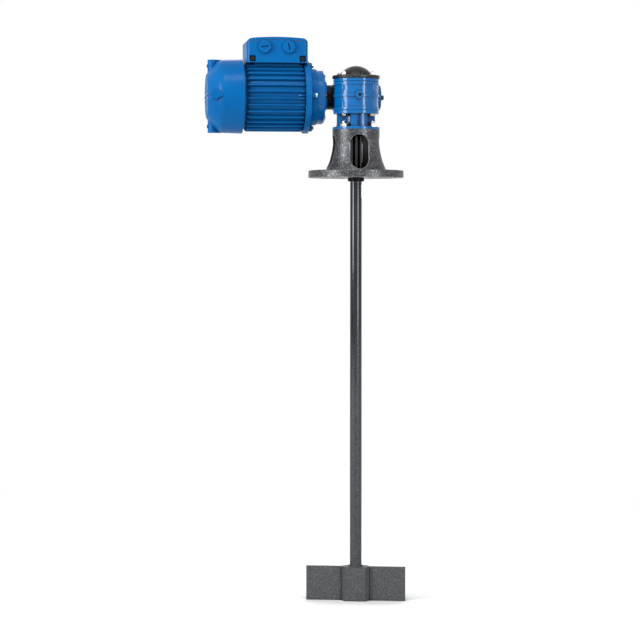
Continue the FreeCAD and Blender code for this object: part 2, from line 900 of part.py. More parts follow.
def guide_bearing_collar():
    """Inner ring of the guide bearing, drawn out under the flange as a locking collar."""
    piece = Piece("guide_bearing_collar")
    inside, outside = bored(s.shaft_dia), s.collar_dia / 2
    low, high = -s.collar_drop, s.guide_width
    piece.turn([(inside, low), (outside, low), (outside, high), (inside, high)])
    sketch = piece.sketch("YZ_Plane")
    draw_circle(sketch, 0, -s.collar_drop / 2, bored(s.grub_dia) * 2)
    piece.extrude(sketch, s.collar_dia, cut=True)
    return piece


def collar_screw():
    """Grub screw that locks the collar to the shaft."""
    piece = Piece("collar_screw")
    start = bored(s.shaft_dia)
    sketch = piece.sketch("YZ_Plane", start)
    draw_circle(sketch, 0, -s.collar_drop / 2, s.grub_dia)
    piece.extrude(sketch, s.collar_dia / 2 - start)
    sketch = piece.sketch("YZ_Plane", s.collar_dia / 2 - s.grub_socket_depth)
    draw_circle(sketch, 0, -s.collar_drop / 2, s.grub_dia / 2)
    piece.extrude(sketch, s.grub_dia, cut=True)
    return piece


# Gear unit


def output_flange():
    """Blue casting between lantern and gear unit: two round plates joined by a four-lobed neck."""
    piece = Piece("output_flange")
    pilot = s.lantern_pilot_dia / 2
    low = s.lantern_top
    seal_seat = bored(s.output_seal_dia)
    seal_floor = HOUSING_BOTTOM - s.output_seal_width
    bore = s.output_sleeve_dia / 2 + s.output_bore_gap
    piece.turn([
        (bore, low - s.lantern_pilot_depth),
        (pilot, low - s.lantern_pilot_depth),
        (pilot, low),
        (s.bottom_plate_dia / 2, low),
        (s.bottom_plate_dia / 2, NECK_BOTTOM),
        (s.neck_dia / 2, NECK_BOTTOM),
        (s.neck_dia / 2, NECK_TOP),
        (s.top_plate_dia / 2, NECK_TOP),
        (s.top_plate_dia / 2, HOUSING_BOTTOM - s.joint_chamfer),
        (s.top_plate_dia / 2 - s.joint_chamfer, HOUSING_BOTTOM),
        (seal_seat, HOUSING_BOTTOM),
        (seal_seat, seal_floor),
        (bore, seal_floor),
    ])
    side, slit = s.lobe_width / 2, s.lobe_groove / 2
    reach = root(s.lobe_reach * s.lobe_reach - side * side)
    brink = root(s.lobe_reach * s.lobe_reach - slit * slit)
    bed = s.lobe_reach - s.lobe_groove_depth
    sketch = piece.sketch("XY_Plane", NECK_BOTTOM)
    draw_outline(sketch, [
        (bore, -side), (reach, -side, s.lobe_reach), (brink, -slit), (bed, -slit),
        (bed, slit), (brink, slit, s.lobe_reach), (reach, side), (bore, side),
    ])
    lobe = piece.extrude(sketch, s.neck_height)
    piece.polar([lobe], QUARTER_TURNS)
    stud_hole = s.stud_dia + s.bolt_clearance * 2
    bore_circles(piece, around(s.stud_circle_dia, CROSS_TURN), stud_hole, low, s.bottom_plate)
    screw_hole = s.housing_screw_dia + s.bolt_clearance * 2
    bore_circles(piece, around(s.housing_screw_circle_dia, CROSS_TURN), screw_hole, NECK_TOP, s.top_plate)
    return piece


def output_seal():
    """Lip seal on the output sleeve, in the top of the output flange."""
    piece = Piece("output_seal")
    inside, outside = bored(s.output_sleeve_dia), s.output_seal_dia / 2
    low = HOUSING_BOTTOM - s.output_seal_width
    piece.turn([(inside, low), (outside, low), (outside, HOUSING_BOTTOM), (inside, HOUSING_BOTTOM)])
    return piece


def lantern_studs():
    """Four studs with nuts that hold the gear unit on the lantern."""
    piece = Piece("lantern_studs")
    points = around(s.stud_circle_dia, CROSS_TURN)
    length = s.stud_depth + s.bottom_plate + s.nut_height + s.stud_proud
    start = s.lantern_top - s.stud_depth
    return screws(piece, points, s.nut_height, s.nut_flats, s.stud_dia, start, length, NECK_BOTTOM)


def housing_screws():
    """Four screws that hold the gear housing on the output flange, with their heads below."""
    piece = Piece("housing_screws")
    points = around(s.housing_screw_circle_dia, CROSS_TURN)
    head = s.housing_screw_head
    length = s.top_plate + s.housing_screw_depth
    flats = s.motor_bolt_flats
    return screws(piece, points, head, flats, s.housing_screw_dia, NECK_TOP, length, NECK_TOP - head)


def housing_shell(piece):
    """Outside of the gear housing: rims, waist, joint rib, bolt bosses, oil boss and worm tube."""
    rim = s.housing_dia / 2
    waist = rim - s.waist_depth
    low_rim = HOUSING_BOTTOM + s.housing_bottom_rim
    high_rim = HOUSING_TOP - s.housing_top_rim
    groove = HOUSING_TOP - s.rim_groove_drop
    piece.turn([
        (0, HOUSING_BOTTOM),
        (rim - s.joint_chamfer, HOUSING_BOTTOM),
        (rim, HOUSING_BOTTOM + s.joint_chamfer),
        (rim, low_rim),
        (waist, low_rim),
        (waist, DRIVE_HEIGHT - s.joint_rib / 2),
        (rim, DRIVE_HEIGHT - s.joint_rib / 2),
        (rim, DRIVE_HEIGHT + s.joint_rib / 2),
        (waist, DRIVE_HEIGHT + s.joint_rib / 2),
        (waist, high_rim),
        (rim, high_rim),
        (rim, groove - s.rim_groove / 2),
        (rim - s.rim_groove, groove),
        (rim, groove + s.rim_groove / 2),
        (rim, HOUSING_TOP - s.joint_chamfer),
        (rim - s.joint_chamfer, HOUSING_TOP),
        (0, HOUSING_TOP),
    ])
    bolt_bosses(piece, low_rim, 1)
    bolt_bosses(piece, high_rim, -1)
    sketch = piece.sketch("YZ_Plane", -s.worm_tube_input_reach)
    draw_circle(sketch, CENTRE_DISTANCE, DRIVE_HEIGHT, s.worm_tube_dia)
    piece.extrude(sketch, s.worm_tube_input_reach + s.worm_tube_end_reach)
    sketch = piece.sketch("XZ_Plane", waist - s.oil_plug_head)
    draw_circle(sketch, 0, DRIVE_HEIGHT, s.oil_boss_dia)
    piece.extrude(sketch, s.oil_boss_reach - waist + s.oil_plug_head)


def bolt_bosses(piece, rim_edge, way):
    """Four round bosses that run from a rim up (way 1) or down (way -1) and end in a cone."""
    points = around(s.column_circle_dia, CROSS_TURN)
    straight = s.column_length - s.column_tip
    for start, length, taper in (
        (rim_edge, straight, None),
        (rim_edge + way * straight, s.column_tip, s.column_taper),
    ):
        sketch = piece.sketch("XY_Plane", start)
        for across, up in points:
            draw_circle(sketch, across, up, s.column_dia)
        piece.extrude(sketch, length, down=way < 0, taper=taper)


def housing_bores(piece):
    """Inside of the gear housing: wheel room, bearing seats, worm bore and screw holes."""
    seat = bored(s.wheel_bearing_dia)
    lip = s.wheel_bearing_lip_dia / 2
    room = s.gear_cavity_dia / 2
    spigot = bored(s.cover_spigot_dia)
    room_low = DRIVE_HEIGHT - s.gear_cavity_height / 2
    room_high = DRIVE_HEIGHT + s.gear_cavity_height / 2
    seat_top = LOWER_BEARING + s.wheel_bearing_width + s.worm_seat_clearance
    piece.turn([
        (0, HOUSING_BOTTOM),
        (seat, HOUSING_BOTTOM),
        (seat, seat_top),
        (lip, seat_top),
        (lip, room_low),
        (room, room_low),
        (room, room_high),
        (spigot, room_high),
        (spigot, HOUSING_TOP),
        (0, HOUSING_TOP),
    ], cut=True)
    bores = (
        (-s.worm_tube_input_reach, s.worm_tube_input_reach + s.worm_tube_end_reach,
         (WORM_TIP_RADIUS + s.worm_bore_clearance) * 2),
        (-s.worm_tube_input_reach, s.worm_tube_input_reach - INPUT_BEARING, bored(s.worm_bearing_dia) * 2),
        (-END_BEARING - s.end_bearing_width, s.end_bearing_width + s.worm_seat_clearance,
         bored(s.worm_bearing_dia) * 2),
    )
    for start, length, diameter in bores:
        sketch = piece.sketch("YZ_Plane", start)
        draw_circle(sketch, CENTRE_DISTANCE, DRIVE_HEIGHT, diameter)
        piece.extrude(sketch, length, cut=True)
    low_holes = around(s.housing_screw_circle_dia, CROSS_TURN)
    depth = s.housing_screw_depth
    bore_circles(piece, low_holes, bored(s.housing_screw_dia) * 2, HOUSING_BOTTOM, depth)
    high_holes = around(s.cover_bolt_circle_dia, CROSS_TURN)
    depth = s.cover_bolt_depth - s.cover_flange
    bore_circles(piece, high_holes, bored(s.cover_bolt_dia) * 2, HOUSING_TOP - depth, depth)
    sketch = piece.sketch("XZ_Plane", s.oil_boss_reach - s.oil_plug_depth)
    draw_circle(sketch, 0, DRIVE_HEIGHT, bored(s.oil_plug_dia) * 2)
    piece.extrude(sketch, s.oil_plug_depth, cut=True)


def gear_housing():
    """Blue casting round the worm wheel, with the worm tube across its back."""
    piece = Piece("gear_housing")
    housing_shell(piece)
    housing_bores(piece)
    return piece


def oil_level_plug():
    """Screw plug with a hexagon socket in the front boss of the gear housing."""
    piece = Piece("oil_level_plug")
    sketch = piece.sketch("XZ_Plane", s.oil_boss_reach - s.oil_plug_depth)
    draw_circle(sketch, 0, DRIVE_HEIGHT, s.oil_plug_dia)
    piece.extrude(sketch, s.oil_plug_depth)
    sketch = piece.sketch("XZ_Plane", s.oil_boss_reach)
    draw_circle(sketch, 0, DRIVE_HEIGHT, s.oil_plug_dia + s.oil_plug_head * 2)
    piece.extrude(sketch, s.oil_plug_head)
    sketch = piece.sketch("XZ_Plane", s.oil_boss_reach + s.oil_plug_head - s.oil_plug_socket_depth)
    draw_hexagon(sketch, 0, DRIVE_HEIGHT, s.oil_plug_socket)
    piece.extrude(sketch, s.oil_plug_socket_depth, cut=True)
    return piece


def top_cover():
    """Cast cover with a shallow dome over the end of the output sleeve and the upper bearing seat."""
    piece = Piece("top_cover")
    seat = bored(s.wheel_bearing_dia)
    dome, flange = s.dome_dia / 2, s.cover_flange_dia / 2
    ball = crown_arc(s.dome_dia, s.dome_height)
    hollow = ball - s.dome_wall
    ceiling = DOME_TOP - s.dome_wall
    mouth = SLEEVE_TOP + s.worm_seat_clearance
    sunk = mouth - (DOME_TOP - ball)
    hollow_foot = root(hollow * hollow - sunk * sunk)
    piece.turn([
        (seat, HOUSING_TOP - s.cover_spigot_length),
        (s.cover_spigot_dia / 2, HOUSING_TOP - s.cover_spigot_length),
        (s.cover_spigot_dia / 2, HOUSING_TOP),
        (flange - s.joint_chamfer, HOUSING_TOP),
        (flange, HOUSING_TOP + s.joint_chamfer),
        (flange, COVER_TOP - s.joint_chamfer),
        (flange - s.joint_chamfer, COVER_TOP),
        (dome, COVER_TOP, ball),
        (0, DOME_TOP),
        (0, ceiling, -hollow),
        (hollow_foot, mouth),
        (seat, mouth),
    ])
    piece.ease("Fillet", s.dome_foot_radius, ring_edge(dome, COVER_TOP))
    hole = s.cover_bolt_dia + s.bolt_clearance * 2
    bore_circles(piece, around(s.cover_bolt_circle_dia, CROSS_TURN), hole, HOUSING_TOP, s.cover_flange)
    return piece


def top_cover_bolts():
    """Four hexagon bolts that hold the top cover."""
    piece = Piece("top_cover_bolts")
    points = around(s.cover_bolt_circle_dia, CROSS_TURN)
    start = COVER_TOP - s.cover_bolt_depth
    flats = s.cover_bolt_flats
    depth = s.cover_bolt_depth
    return screws(piece, points, s.cover_bolt_head, flats, s.cover_bolt_dia, start, depth, COVER_TOP)


def worm_wheel():
    """Bronze rim with teeth slanted to the worm's lead."""
    piece = Piece("worm_wheel")
    bore = s.wheel_ring_bore / 2
    edge = s.wheel_edge_chamfer
    piece.turn([
        (bore, WHEEL_BOTTOM),
        (WHEEL_TIP_RADIUS - edge, WHEEL_BOTTOM),
        (WHEEL_TIP_RADIUS, WHEEL_BOTTOM + edge),
        (WHEEL_TIP_RADIUS, WHEEL_TOP - edge),
        (WHEEL_TIP_RADIUS - edge, WHEEL_TOP),
        (bore, WHEEL_TOP),
    ])
    half_tooth_turn = as_size(FULL_TURN) / s.wheel_teeth / 2
    degrees = as_size(math.degrees(1.0))
    tip_tooth = s.worm_module * s.tooth_tip_share - s.tooth_thinning
    root_tooth = s.worm_module * s.tooth_root_share - s.tooth_thinning
    tip_turn = half_tooth_turn - tip_tooth / WHEEL_TIP_RADIUS * degrees
    root_turn = half_tooth_turn - root_tooth / WHEEL_ROOT_RADIUS * degrees
    tip = (WHEEL_TIP_RADIUS * sine(tip_turn), WHEEL_TIP_RADIUS * cosine(tip_turn))
    low = (WHEEL_ROOT_RADIUS * sine(root_turn), WHEEL_ROOT_RADIUS * cosine(root_turn))
    open_end = (tip[0] * 2 - low[0], tip[1] * 2 - low[1])
    sketch = piece.sketch("XY_Plane", DRIVE_HEIGHT)
    draw_outline(sketch, [(-low[0], low[1]), low, open_end, (-open_end[0], open_end[1])])
    lead = PITCH.value / (math.pi * s.worm_pitch_dia.value)
    gap = piece.extrude(sketch, s.wheel_face * 2, cut=True, both=True, slant=Vector(-lead, 0, 1))
    piece.polar([gap], s.wheel_teeth, cut=True)
    return piece


def output_sleeve():
    """Hollow output shaft: wheel seat in the middle, a bearing journal at each end, key slot inside."""
    piece = Piece("output_sleeve")
    inside = bored(s.shaft_dia)
    journal = s.output_sleeve_dia / 2
    shoulder = s.sleeve_shoulder_dia / 2
    seat = s.wheel_ring_bore / 2 - s.running_fit
    piece.turn([
        (inside, SLEEVE_BOTTOM),
        (journal, SLEEVE_BOTTOM),
        (journal, LOWER_BEARING + s.wheel_bearing_width),
        (shoulder, LOWER_BEARING + s.wheel_bearing_width),
        (shoulder, WHEEL_BOTTOM),
        (seat, WHEEL_BOTTOM),
        (seat, WHEEL_TOP),
        (shoulder, WHEEL_TOP),
        (shoulder, UPPER_BEARING),
        (journal, UPPER_BEARING),
        (journal, SLEEVE_TOP),
        (inside, SLEEVE_TOP),
    ])
    sketch = piece.sketch("YZ_Plane")
    rise = s.sleeve_key_height - s.key_depth + s.running_fit
    length = SLEEVE_TOP - SLEEVE_BOTTOM
    width = s.sleeve_key_width + s.running_fit * 2
    draw_box(sketch, 0, SLEEVE_BOTTOM + length / 2, width, length)
    piece.extrude(sketch, s.shaft_dia / 2 + rise, cut=True)
    return piece


def sleeve_key():
    """Round-ended key that drives the stirring shaft from the output sleeve."""
    piece = Piece("sleeve_key")
    sketch = piece.sketch("YZ_Plane", s.shaft_dia / 2 - s.key_depth)
    width, length = s.sleeve_key_width - s.running_fit * 2, s.sleeve_key_length - s.running_fit * 2
    draw_slot(sketch, 0, DRIVE_HEIGHT, width, length)
    piece.extrude(sketch, s.sleeve_key_height)
    return piece


def retaining_washer():
    """Disc that bears on the sleeve end and holds the stirring shaft up."""
    piece = Piece("retaining_washer")
    inside, outside = bored(s.retainer_bolt_dia), s.retainer_dia / 2
    top = SLEEVE_TOP + s.retainer_thickness
    piece.turn([(inside, SLEEVE_TOP), (outside, SLEEVE_TOP), (outside, top), (inside, top)])
    return piece


def retaining_bolt():
    """Bolt through the washer into the top of the stirring shaft."""
    piece = Piece("retaining_bolt")
    start = SHAFT_TOP - s.retainer_bolt_depth
    seat = SLEEVE_TOP + s.retainer_thickness
    head, flats = s.retainer_bolt_head, s.retainer_bolt_flats
    return screws(piece, [(0, 0)], head, flats, s.retainer_bolt_dia, start, seat - start, seat)


def wheel_bearings(label, section):
    """Both rings of one kind in the two bearings of the output sleeve."""
    piece = Piece(label)
    for start in (LOWER_BEARING, UPPER_BEARING):
        piece.turn(section(s.output_sleeve_dia, s.wheel_bearing_dia, start, s.wheel_bearing_width))
    return piece


def worm_shaft():
    """Worm with a hollow input end that takes the motor shaft."""
    piece = drive_piece("worm_shaft")
    end_journal = s.end_bearing_bore / 2
    input_journal = s.input_bearing_bore / 2
    shoulder = input_journal + s.worm_shoulder
    sleeve_end = s.motor_face - s.pilot_length - s.free_gap
    piece.turn([
        (0, END_BEARING),
        (end_journal, END_BEARING),
        (end_journal, END_BEARING + s.end_bearing_width),
        (end_journal + s.worm_shoulder, END_BEARING + s.end_bearing_width),
        (WORM_ROOT_RADIUS, -s.worm_relief),
        (WORM_ROOT_RADIUS, s.worm_relief),
        (shoulder, INPUT_BEARING - s.worm_shoulder),
        (shoulder, INPUT_BEARING),
        (input_journal, INPUT_BEARING),
        (input_journal, sleeve_end),
        (0, sleeve_end),
    ])
    middle = s.worm_pitch_dia / 2
    tangent = math.tan(math.radians(s.pressure_angle.value))
    half = PITCH / 4 - s.tooth_thinning
    tip = half - (WORM_TIP_RADIUS - middle) * tangent
    sunk = WORM_ROOT_RADIUS - s.thread_sink
    foot = half + (middle - sunk) * tangent
    start = -(PITCH * s.worm_turns / 2)
    sketch = piece.sketch("XZ_Plane")
    draw_outline(sketch, [
        (sunk, start - foot),
        (WORM_TIP_RADIUS, start - tip),
        (WORM_TIP_RADIUS, start + tip),
        (sunk, start + foot),
    ])
    before = piece.volume()
    thread = piece.body.newObject("PartDesign::AdditiveHelix", "Thread")
    thread.Profile = sketch
    thread.ReferenceAxis = (sketch, ["V_Axis"])
    thread.Mode = "pitch-turns-angle"
    bind(thread, "Pitch", PITCH)
    bind(thread, "Turns", s.worm_turns)
    piece.close(thread, before, False)
    floor = s.motor_face - s.output_journal_length - s.free_gap
    bore_circles(piece, [(0, 0)], bored(s.output_journal_dia) * 2, floor, sleeve_end - floor)
    sketch = piece.sketch("XY_Plane", floor)
    rise = s.output_journal_dia / 2 + s.motor_key_width - s.motor_key_depth + s.running_fit
    draw_box(sketch, 0, -rise / 2, s.motor_key_width + s.running_fit * 2, rise)
    piece.extrude(sketch, sleeve_end - floor, cut=True)
    return piece


def worm_bearings(label, section):
    """Both rings of one kind in the two bearings of the worm."""
    piece = drive_piece(label)
    piece.turn(section(s.input_bearing_bore, s.worm_bearing_dia, INPUT_BEARING, s.input_bearing_width))
    piece.turn(section(s.end_bearing_bore, s.worm_bearing_dia, END_BEARING, s.end_bearing_width))
    return piece


def neck_ring():
    """Black ring between gear housing and input flange, which holds the worm's seal."""
    piece = drive_piece("neck_ring")
    seat, outside = bored(s.worm_bearing_dia), s.neck_ring_dia / 2
    bore = s.input_bearing_bore / 2 + s.free_gap
    seal_end = SEAL_START + s.worm_seal_width
    piece.turn([
        (seat, SEAL_START), (outside, SEAL_START), (outside, NECK_RING_END), (bore, NECK_RING_END),
        (bore, seal_end), (seat, seal_end),
    ])
    return piece


def worm_seal():
    """Lip seal on the input end of the worm."""
    piece = drive_piece("worm_seal")
    inside, outside = bored(s.input_bearing_bore), s.worm_bearing_dia / 2
    end = SEAL_START + s.worm_seal_width
    piece.turn([(inside, SEAL_START), (outside, SEAL_START), (outside, end), (inside, end)])
    return piece


def worm_end_cover():
    """Pressed cap over the far end of the worm tube, with a small middle nub."""
    piece = drive_piece("worm_end_cover")
    seat = -s.worm_tube_end_reach
    outside, nub = s.end_cover_dia / 2, s.end_nub_dia / 2
    crown = s.end_cover_dia * 2
    piece.turn([
        (0, seat),
        (outside, seat),
        (outside, seat - s.end_cover / 2, crown),
        (nub, seat - s.end_cover),
        (nub, seat - s.end_cover - s.end_nub_reach),
        (0, seat - s.end_cover - s.end_nub_reach),
    ])
    return piece


def input_flange():
    """Bell between neck ring and motor, with bolt seats and scalloped pockets."""
    piece = drive_piece("input_flange")
    start, face = NECK_RING_END, s.motor_face
    rim, shoulder = s.input_flange_dia / 2, s.input_flange_shoulder_dia / 2
    bore = s.input_bearing_bore / 2 + s.free_gap
    pilot = bored(s.pilot_dia)
    hollow = s.pilot_dia / 2 - s.pilot_length
    lip = s.input_flange_lip
    piece.turn([
        (bore, start),
        (shoulder, start),
        (rim, start + lip),
        (rim, face),
        (pilot, face),
        (pilot, face - s.pilot_length),
        (hollow, face - s.pilot_length),
        (hollow, start + lip),
        (bore, start + lip),
    ])
    bolts = around(s.motor_bolt_circle_dia)
    bore_circles(piece, bolts, s.motor_bolt_flats + s.motor_bolt_head, start, lip)
    bore_circles(piece, bolts, s.motor_bolt_dia + s.bolt_clearance * 2, start, face - start)
    bore_circles(piece, around(s.scallop_circle_dia, CROSS_TURN), s.scallop_dia, start, s.scallop_depth)
    return piece


def motor_bolts():
    """Four bolts that hold the motor's face on the input flange."""
    piece = drive_piece("motor_bolts")
    seat = NECK_RING_END + s.input_flange_lip
    end = s.motor_face + s.motor_bolt_depth
    head, flats = s.motor_bolt_head, s.motor_bolt_flats
    points = around(s.motor_bolt_circle_dia)
    return screws(piece, points, head, flats, s.motor_bolt_dia, seat, end - seat, seat - head)


# Motor


def front_endshield():
    """Motor end shield on the gear side: face with pilot, barrel, bolted ring and bearing seat."""
    piece = drive_piece("front_endshield")
    face = s.motor_face
    seat, shaft_hole = bored(s.motor_bearing_dia), s.rotor_body_dia / 2
    housing = s.motor_bearing_dia / 2 + s.bearing_housing_wall
    barrel, ring = s.front_barrel_dia / 2, s.front_ring_dia / 2
    spigot = s.frame_bore / 2 - s.running_fit
    inside = barrel - s.shield_barrel_wall
    spigot_inside = spigot - s.shield_spigot_wall
    bearing_end = FRONT_BEARING + s.motor_bearing_width
    piece.turn([
        (shaft_hole, face - s.pilot_length),
        (s.pilot_dia / 2, face - s.pilot_length),
        (s.pilot_dia / 2, face),
        (barrel, face),
        (barrel, BARREL_END),
        (ring, BARREL_END),
        (ring, FRAME_START),
        (spigot, FRAME_START),
        (spigot, FRAME_START + s.shield_spigot),
        (spigot_inside, FRAME_START + s.shield_spigot),
        (spigot_inside, FRAME_START),
        (inside, BARREL_END),
        (inside, face + s.shield_face),
        (housing, face + s.shield_face),
        (housing, bearing_end),
        (seat, bearing_end),
        (seat, FRONT_BEARING),
        (shaft_hole, FRONT_BEARING),
    ])
    sketch = piece.sketch("XY_Plane", BARREL_END)
    for across, up in around(s.lug_circle_dia):
        draw_circle(sketch, across, up, s.lug_radius * 2)
    piece.extrude(sketch, s.front_ring_length)
    sketch = piece.sketch("XY_Plane", BARREL_END)
    for across, up in around(s.lug_circle_dia):
        draw_circle(sketch, across, up, s.lug_boss_dia)
    piece.extrude(sketch, s.lug_boss_length, down=True)
    depth = s.motor_bolt_depth
    points = around(s.motor_bolt_circle_dia)
    bore_circles(piece, points, bored(s.motor_bolt_dia) * 2, face, depth)
    points = around(s.lug_circle_dia)
    hole = s.shield_bolt_dia + s.bolt_clearance * 2
    boss = s.lug_boss_length
    bore_circles(piece, points, hole, BARREL_END - boss, s.front_ring_length + boss)
    notch = s.front_ring_dia
    sketch = piece.sketch("XY_Plane", FRAME_START - s.box_overhang - s.free_gap)
    draw_box(sketch, 0, s.box_base - s.free_gap + notch / 2, notch, notch)
    piece.extrude(sketch, s.box_overhang + s.free_gap, cut=True)
    edges = (ring_edge(barrel, face), ring_edge(ring, BARREL_END))
    piece.ease("Chamfer", s.flange_edge_chamfer, lambda edge: any(test(edge) for test in edges))
    return piece


def stator_frame():
    """Finned aluminium tube with a seat for the terminal box and bolt lugs at both ends."""
    piece = drive_piece("stator_frame")
    bore, tube, tip = s.frame_bore / 2, s.frame_root_dia / 2, s.fin_tip_dia / 2
    piece.turn([(bore, FRAME_START), (tube, FRAME_START), (tube, FRAME_END), (bore, FRAME_END)])
    half_step = as_size(FULL_TURN) / s.fin_count / 2
    sketch = piece.sketch("XY_Plane", FRAME_START)
    draw_outline(sketch, spoke(tube - s.free_gap * 2, tip, s.fin_thickness, half_step))
    fin = piece.extrude(sketch, s.frame_length)
    piece.polar([fin], s.fin_count)
    piece.turn([
        (tube, FRAME_END),
        (tip + s.fin_slope, FRAME_END - s.fin_end_run),
        (tip + s.fin_slope, FRAME_END + s.fin_slope),
        (tube, FRAME_END + s.fin_slope),
    ], cut=True)
    for start in (FRAME_START, FRAME_END - s.shield_bolt_depth):
        sketch = piece.sketch("XY_Plane", start)
        for across, up in around(s.lug_circle_dia):
            draw_circle(sketch, across, up, s.frame_lug_dia)
        piece.extrude(sketch, s.shield_bolt_depth)
    sketch = piece.sketch("XY_Plane", BOX_MIDDLE - s.pad_length / 2)
    low = s.frame_bore / 2 + s.free_gap
    draw_box(sketch, 0, (low + s.box_base) / 2, s.pad_width, s.box_base - low)
    piece.extrude(sketch, s.pad_length)
    sketch = piece.sketch("XY_Plane", FRAME_START)
    draw_box(sketch, 0, s.box_base + tip / 2, tip, tip)
    piece.extrude(sketch, s.frame_length, cut=True)
    points = around(s.lug_circle_dia)
    depth = s.shield_bolt_depth - s.front_ring_length + s.shield_bolt_depth
    hole = bored(s.shield_bolt_dia) * 2
    bore_circles(piece, points, hole, FRAME_START, depth)
    bore_circles(piece, points, hole, FRAME_END - depth, depth)
    return piece


def rear_endshield():
    """Motor end shield on the fan side, which also carries the fan cowl."""
    piece = drive_piece("rear_endshield")
    seat, shaft_hole = bored(s.motor_bearing_dia), s.fan_journal_dia / 2 + s.free_gap
    housing = s.motor_bearing_dia / 2 + s.bearing_housing_wall
    rim = s.rear_shield_dia / 2
    spigot = s.frame_bore / 2 - s.running_fit
    spigot_inside = spigot - s.shield_spigot_wall
    bearing_end = REAR_BEARING + s.motor_bearing_width
    wall_start = SHIELD_END - s.shield_face
    piece.turn([
        (shaft_hole, SHIELD_END),
        (rim, SHIELD_END),
        (rim, FRAME_END),
        (spigot, FRAME_END),
        (spigot, FRAME_END - s.shield_spigot),
        (spigot_inside, FRAME_END - s.shield_spigot),
        (spigot_inside, wall_start),
        (housing, wall_start),
        (housing, REAR_BEARING),
        (seat, REAR_BEARING),
        (seat, bearing_end),
        (shaft_hole, bearing_end),
    ])
    depth = s.shield_face
    points = around(s.cowl_screw_circle_dia)
    bore_circles(piece, points, bored(s.cowl_screw_dia) * 2, SHIELD_END - depth, depth)
    return piece


def endshield_screws():
    """Four screws that hold the front end shield on the motor frame."""
    piece = drive_piece("endshield_screws")
    points = around(s.lug_circle_dia)
    head, flats = s.shield_bolt_head, s.shield_bolt_flats
    seat = BARREL_END - s.lug_boss_length
    length = s.lug_boss_length + s.front_ring_length + s.shield_bolt_depth
    return screws(piece, points, head, flats, s.shield_bolt_dia, seat, length, seat - head)


def slot_bars(piece, radius, width, depth, start, length, cut):
    """Bars or slots round the motor's core, one at each slot place."""
    sketch = piece.sketch("XY_Plane", start)
    draw_outline(sketch, spoke(radius, radius + depth, width, as_size(0)))
    bar = piece.extrude(sketch, length, cut=cut)
    piece.polar([bar], s.core_slots, cut=cut)


def stator_core():
    """Laminated stator core with a slot for every coil side."""
    piece = drive_piece("stator_core")
    inside, outside = s.core_bore / 2, s.frame_bore / 2 - s.running_fit
    piece.turn([(inside, CORE_START), (outside, CORE_START), (outside, CORE_END), (inside, CORE_END)])
    slot_bars(piece, inside + s.slot_start, s.slot_width, s.slot_depth, CORE_START, s.core_length, True)
    return piece


def stator_windings():
    """Copper windings: coil sides in the slots, joined by an end turn at each end."""
    piece = drive_piece("stator_windings")
    inside = s.core_bore / 2 + s.slot_start + s.coil_fit
    outside = inside + s.slot_depth - s.coil_fit * 2
    length = s.end_turn_length
    for start in (CORE_START - length - s.coil_fit, CORE_END + s.coil_fit):
        piece.turn([
            (inside, start),
            (outside, start, length * 2),
            (outside, start + length),
            (inside, start + length),
        ])
    width, depth = s.slot_width - s.coil_fit * 2, outside - inside
    low, high = CORE_START - s.coil_fit * 2, CORE_END + s.coil_fit * 2
    slot_bars(piece, inside, width, depth, low, high - low, False)
    return piece


def rotor_core():
    """Rotor cage: laminated drum with a stepped short-circuit ring at each end."""
    piece = drive_piece("rotor_core")
    bore, drum = bored(s.rotor_body_dia), s.core_bore / 2 - s.air_gap
    ring = drum - s.short_ring_step
    low, high = CORE_START - s.short_ring_length, CORE_END + s.short_ring_length
    piece.turn([
        (bore, low), (ring, low), (ring, CORE_START), (drum, CORE_START),
        (drum, CORE_END), (ring, CORE_END), (ring, high), (bore, high),
    ])
    return piece


def rotor_shaft():
    """Motor shaft with bearing seats, a keyed output end and a journal for the fan."""
    piece = drive_piece("rotor_shaft")
    output, bearing = s.output_journal_dia / 2, s.rotor_journal_dia / 2
    middle, fan = s.rotor_body_dia / 2, s.fan_journal_dia / 2
    front_end = FRONT_BEARING + s.motor_bearing_width
    start = s.motor_face - s.output_journal_length
    end = FAN_END + s.fan_journal_end
    piece.turn([
        (0, start),
        (output, start),
        (output, s.motor_face),
        (bearing, s.motor_face),
        (bearing, front_end),
        (middle, front_end),
        (middle, REAR_BEARING),
        (bearing, REAR_BEARING),
        (bearing, REAR_BEARING + s.motor_bearing_width),
        (fan, REAR_BEARING + s.motor_bearing_width),
        (fan, end),
        (0, end),
    ])
    key_slot = piece.sketch("XZ_Plane", output - s.motor_key_depth)
    key_middle = start + s.free_gap + s.motor_key_length / 2
    draw_slot(key_slot, 0, key_middle, s.motor_key_width, s.motor_key_length)
    piece.extrude(key_slot, s.motor_key_depth * 2, cut=True)
    piece.ease("Chamfer", s.flange_edge_chamfer, ring_edge(fan, end))
    return piece


def motor_key():
    """Key that drives the worm from the motor shaft."""
    piece = drive_piece("motor_key")
    low = s.output_journal_dia / 2 - s.motor_key_depth
    sketch = piece.sketch("XZ_Plane", low)
    width, length = s.motor_key_width - s.running_fit * 2, s.motor_key_length - s.running_fit * 2
    middle_height = s.motor_face - s.output_journal_length + s.free_gap + s.motor_key_length / 2
    draw_slot(sketch, 0, middle_height, width, length)
    piece.extrude(sketch, s.motor_key_width)
    return piece


def motor_bearings(label, section):
    """Both rings of one kind in the two bearings of the motor."""
    piece = drive_piece(label)
    for start in (FRONT_BEARING, REAR_BEARING):
        piece.turn(section(s.rotor_journal_dia, s.motor_bearing_dia, start, s.motor_bearing_width))
    return piece


def motor_shaft_seal():
    """Rubber sling ring on the motor shaft, just outside the front bearing."""
    piece = drive_piece("motor_shaft_seal")
    inside, outside = bored(s.rotor_journal_dia), s.rotor_body_dia / 2 - s.free_gap
    end = FRONT_BEARING - s.free_gap
    start = end - s.motor_seal_width + s.free_gap
    piece.turn([(inside, start), (outside, start), (outside, end), (inside, end)])
    return piece


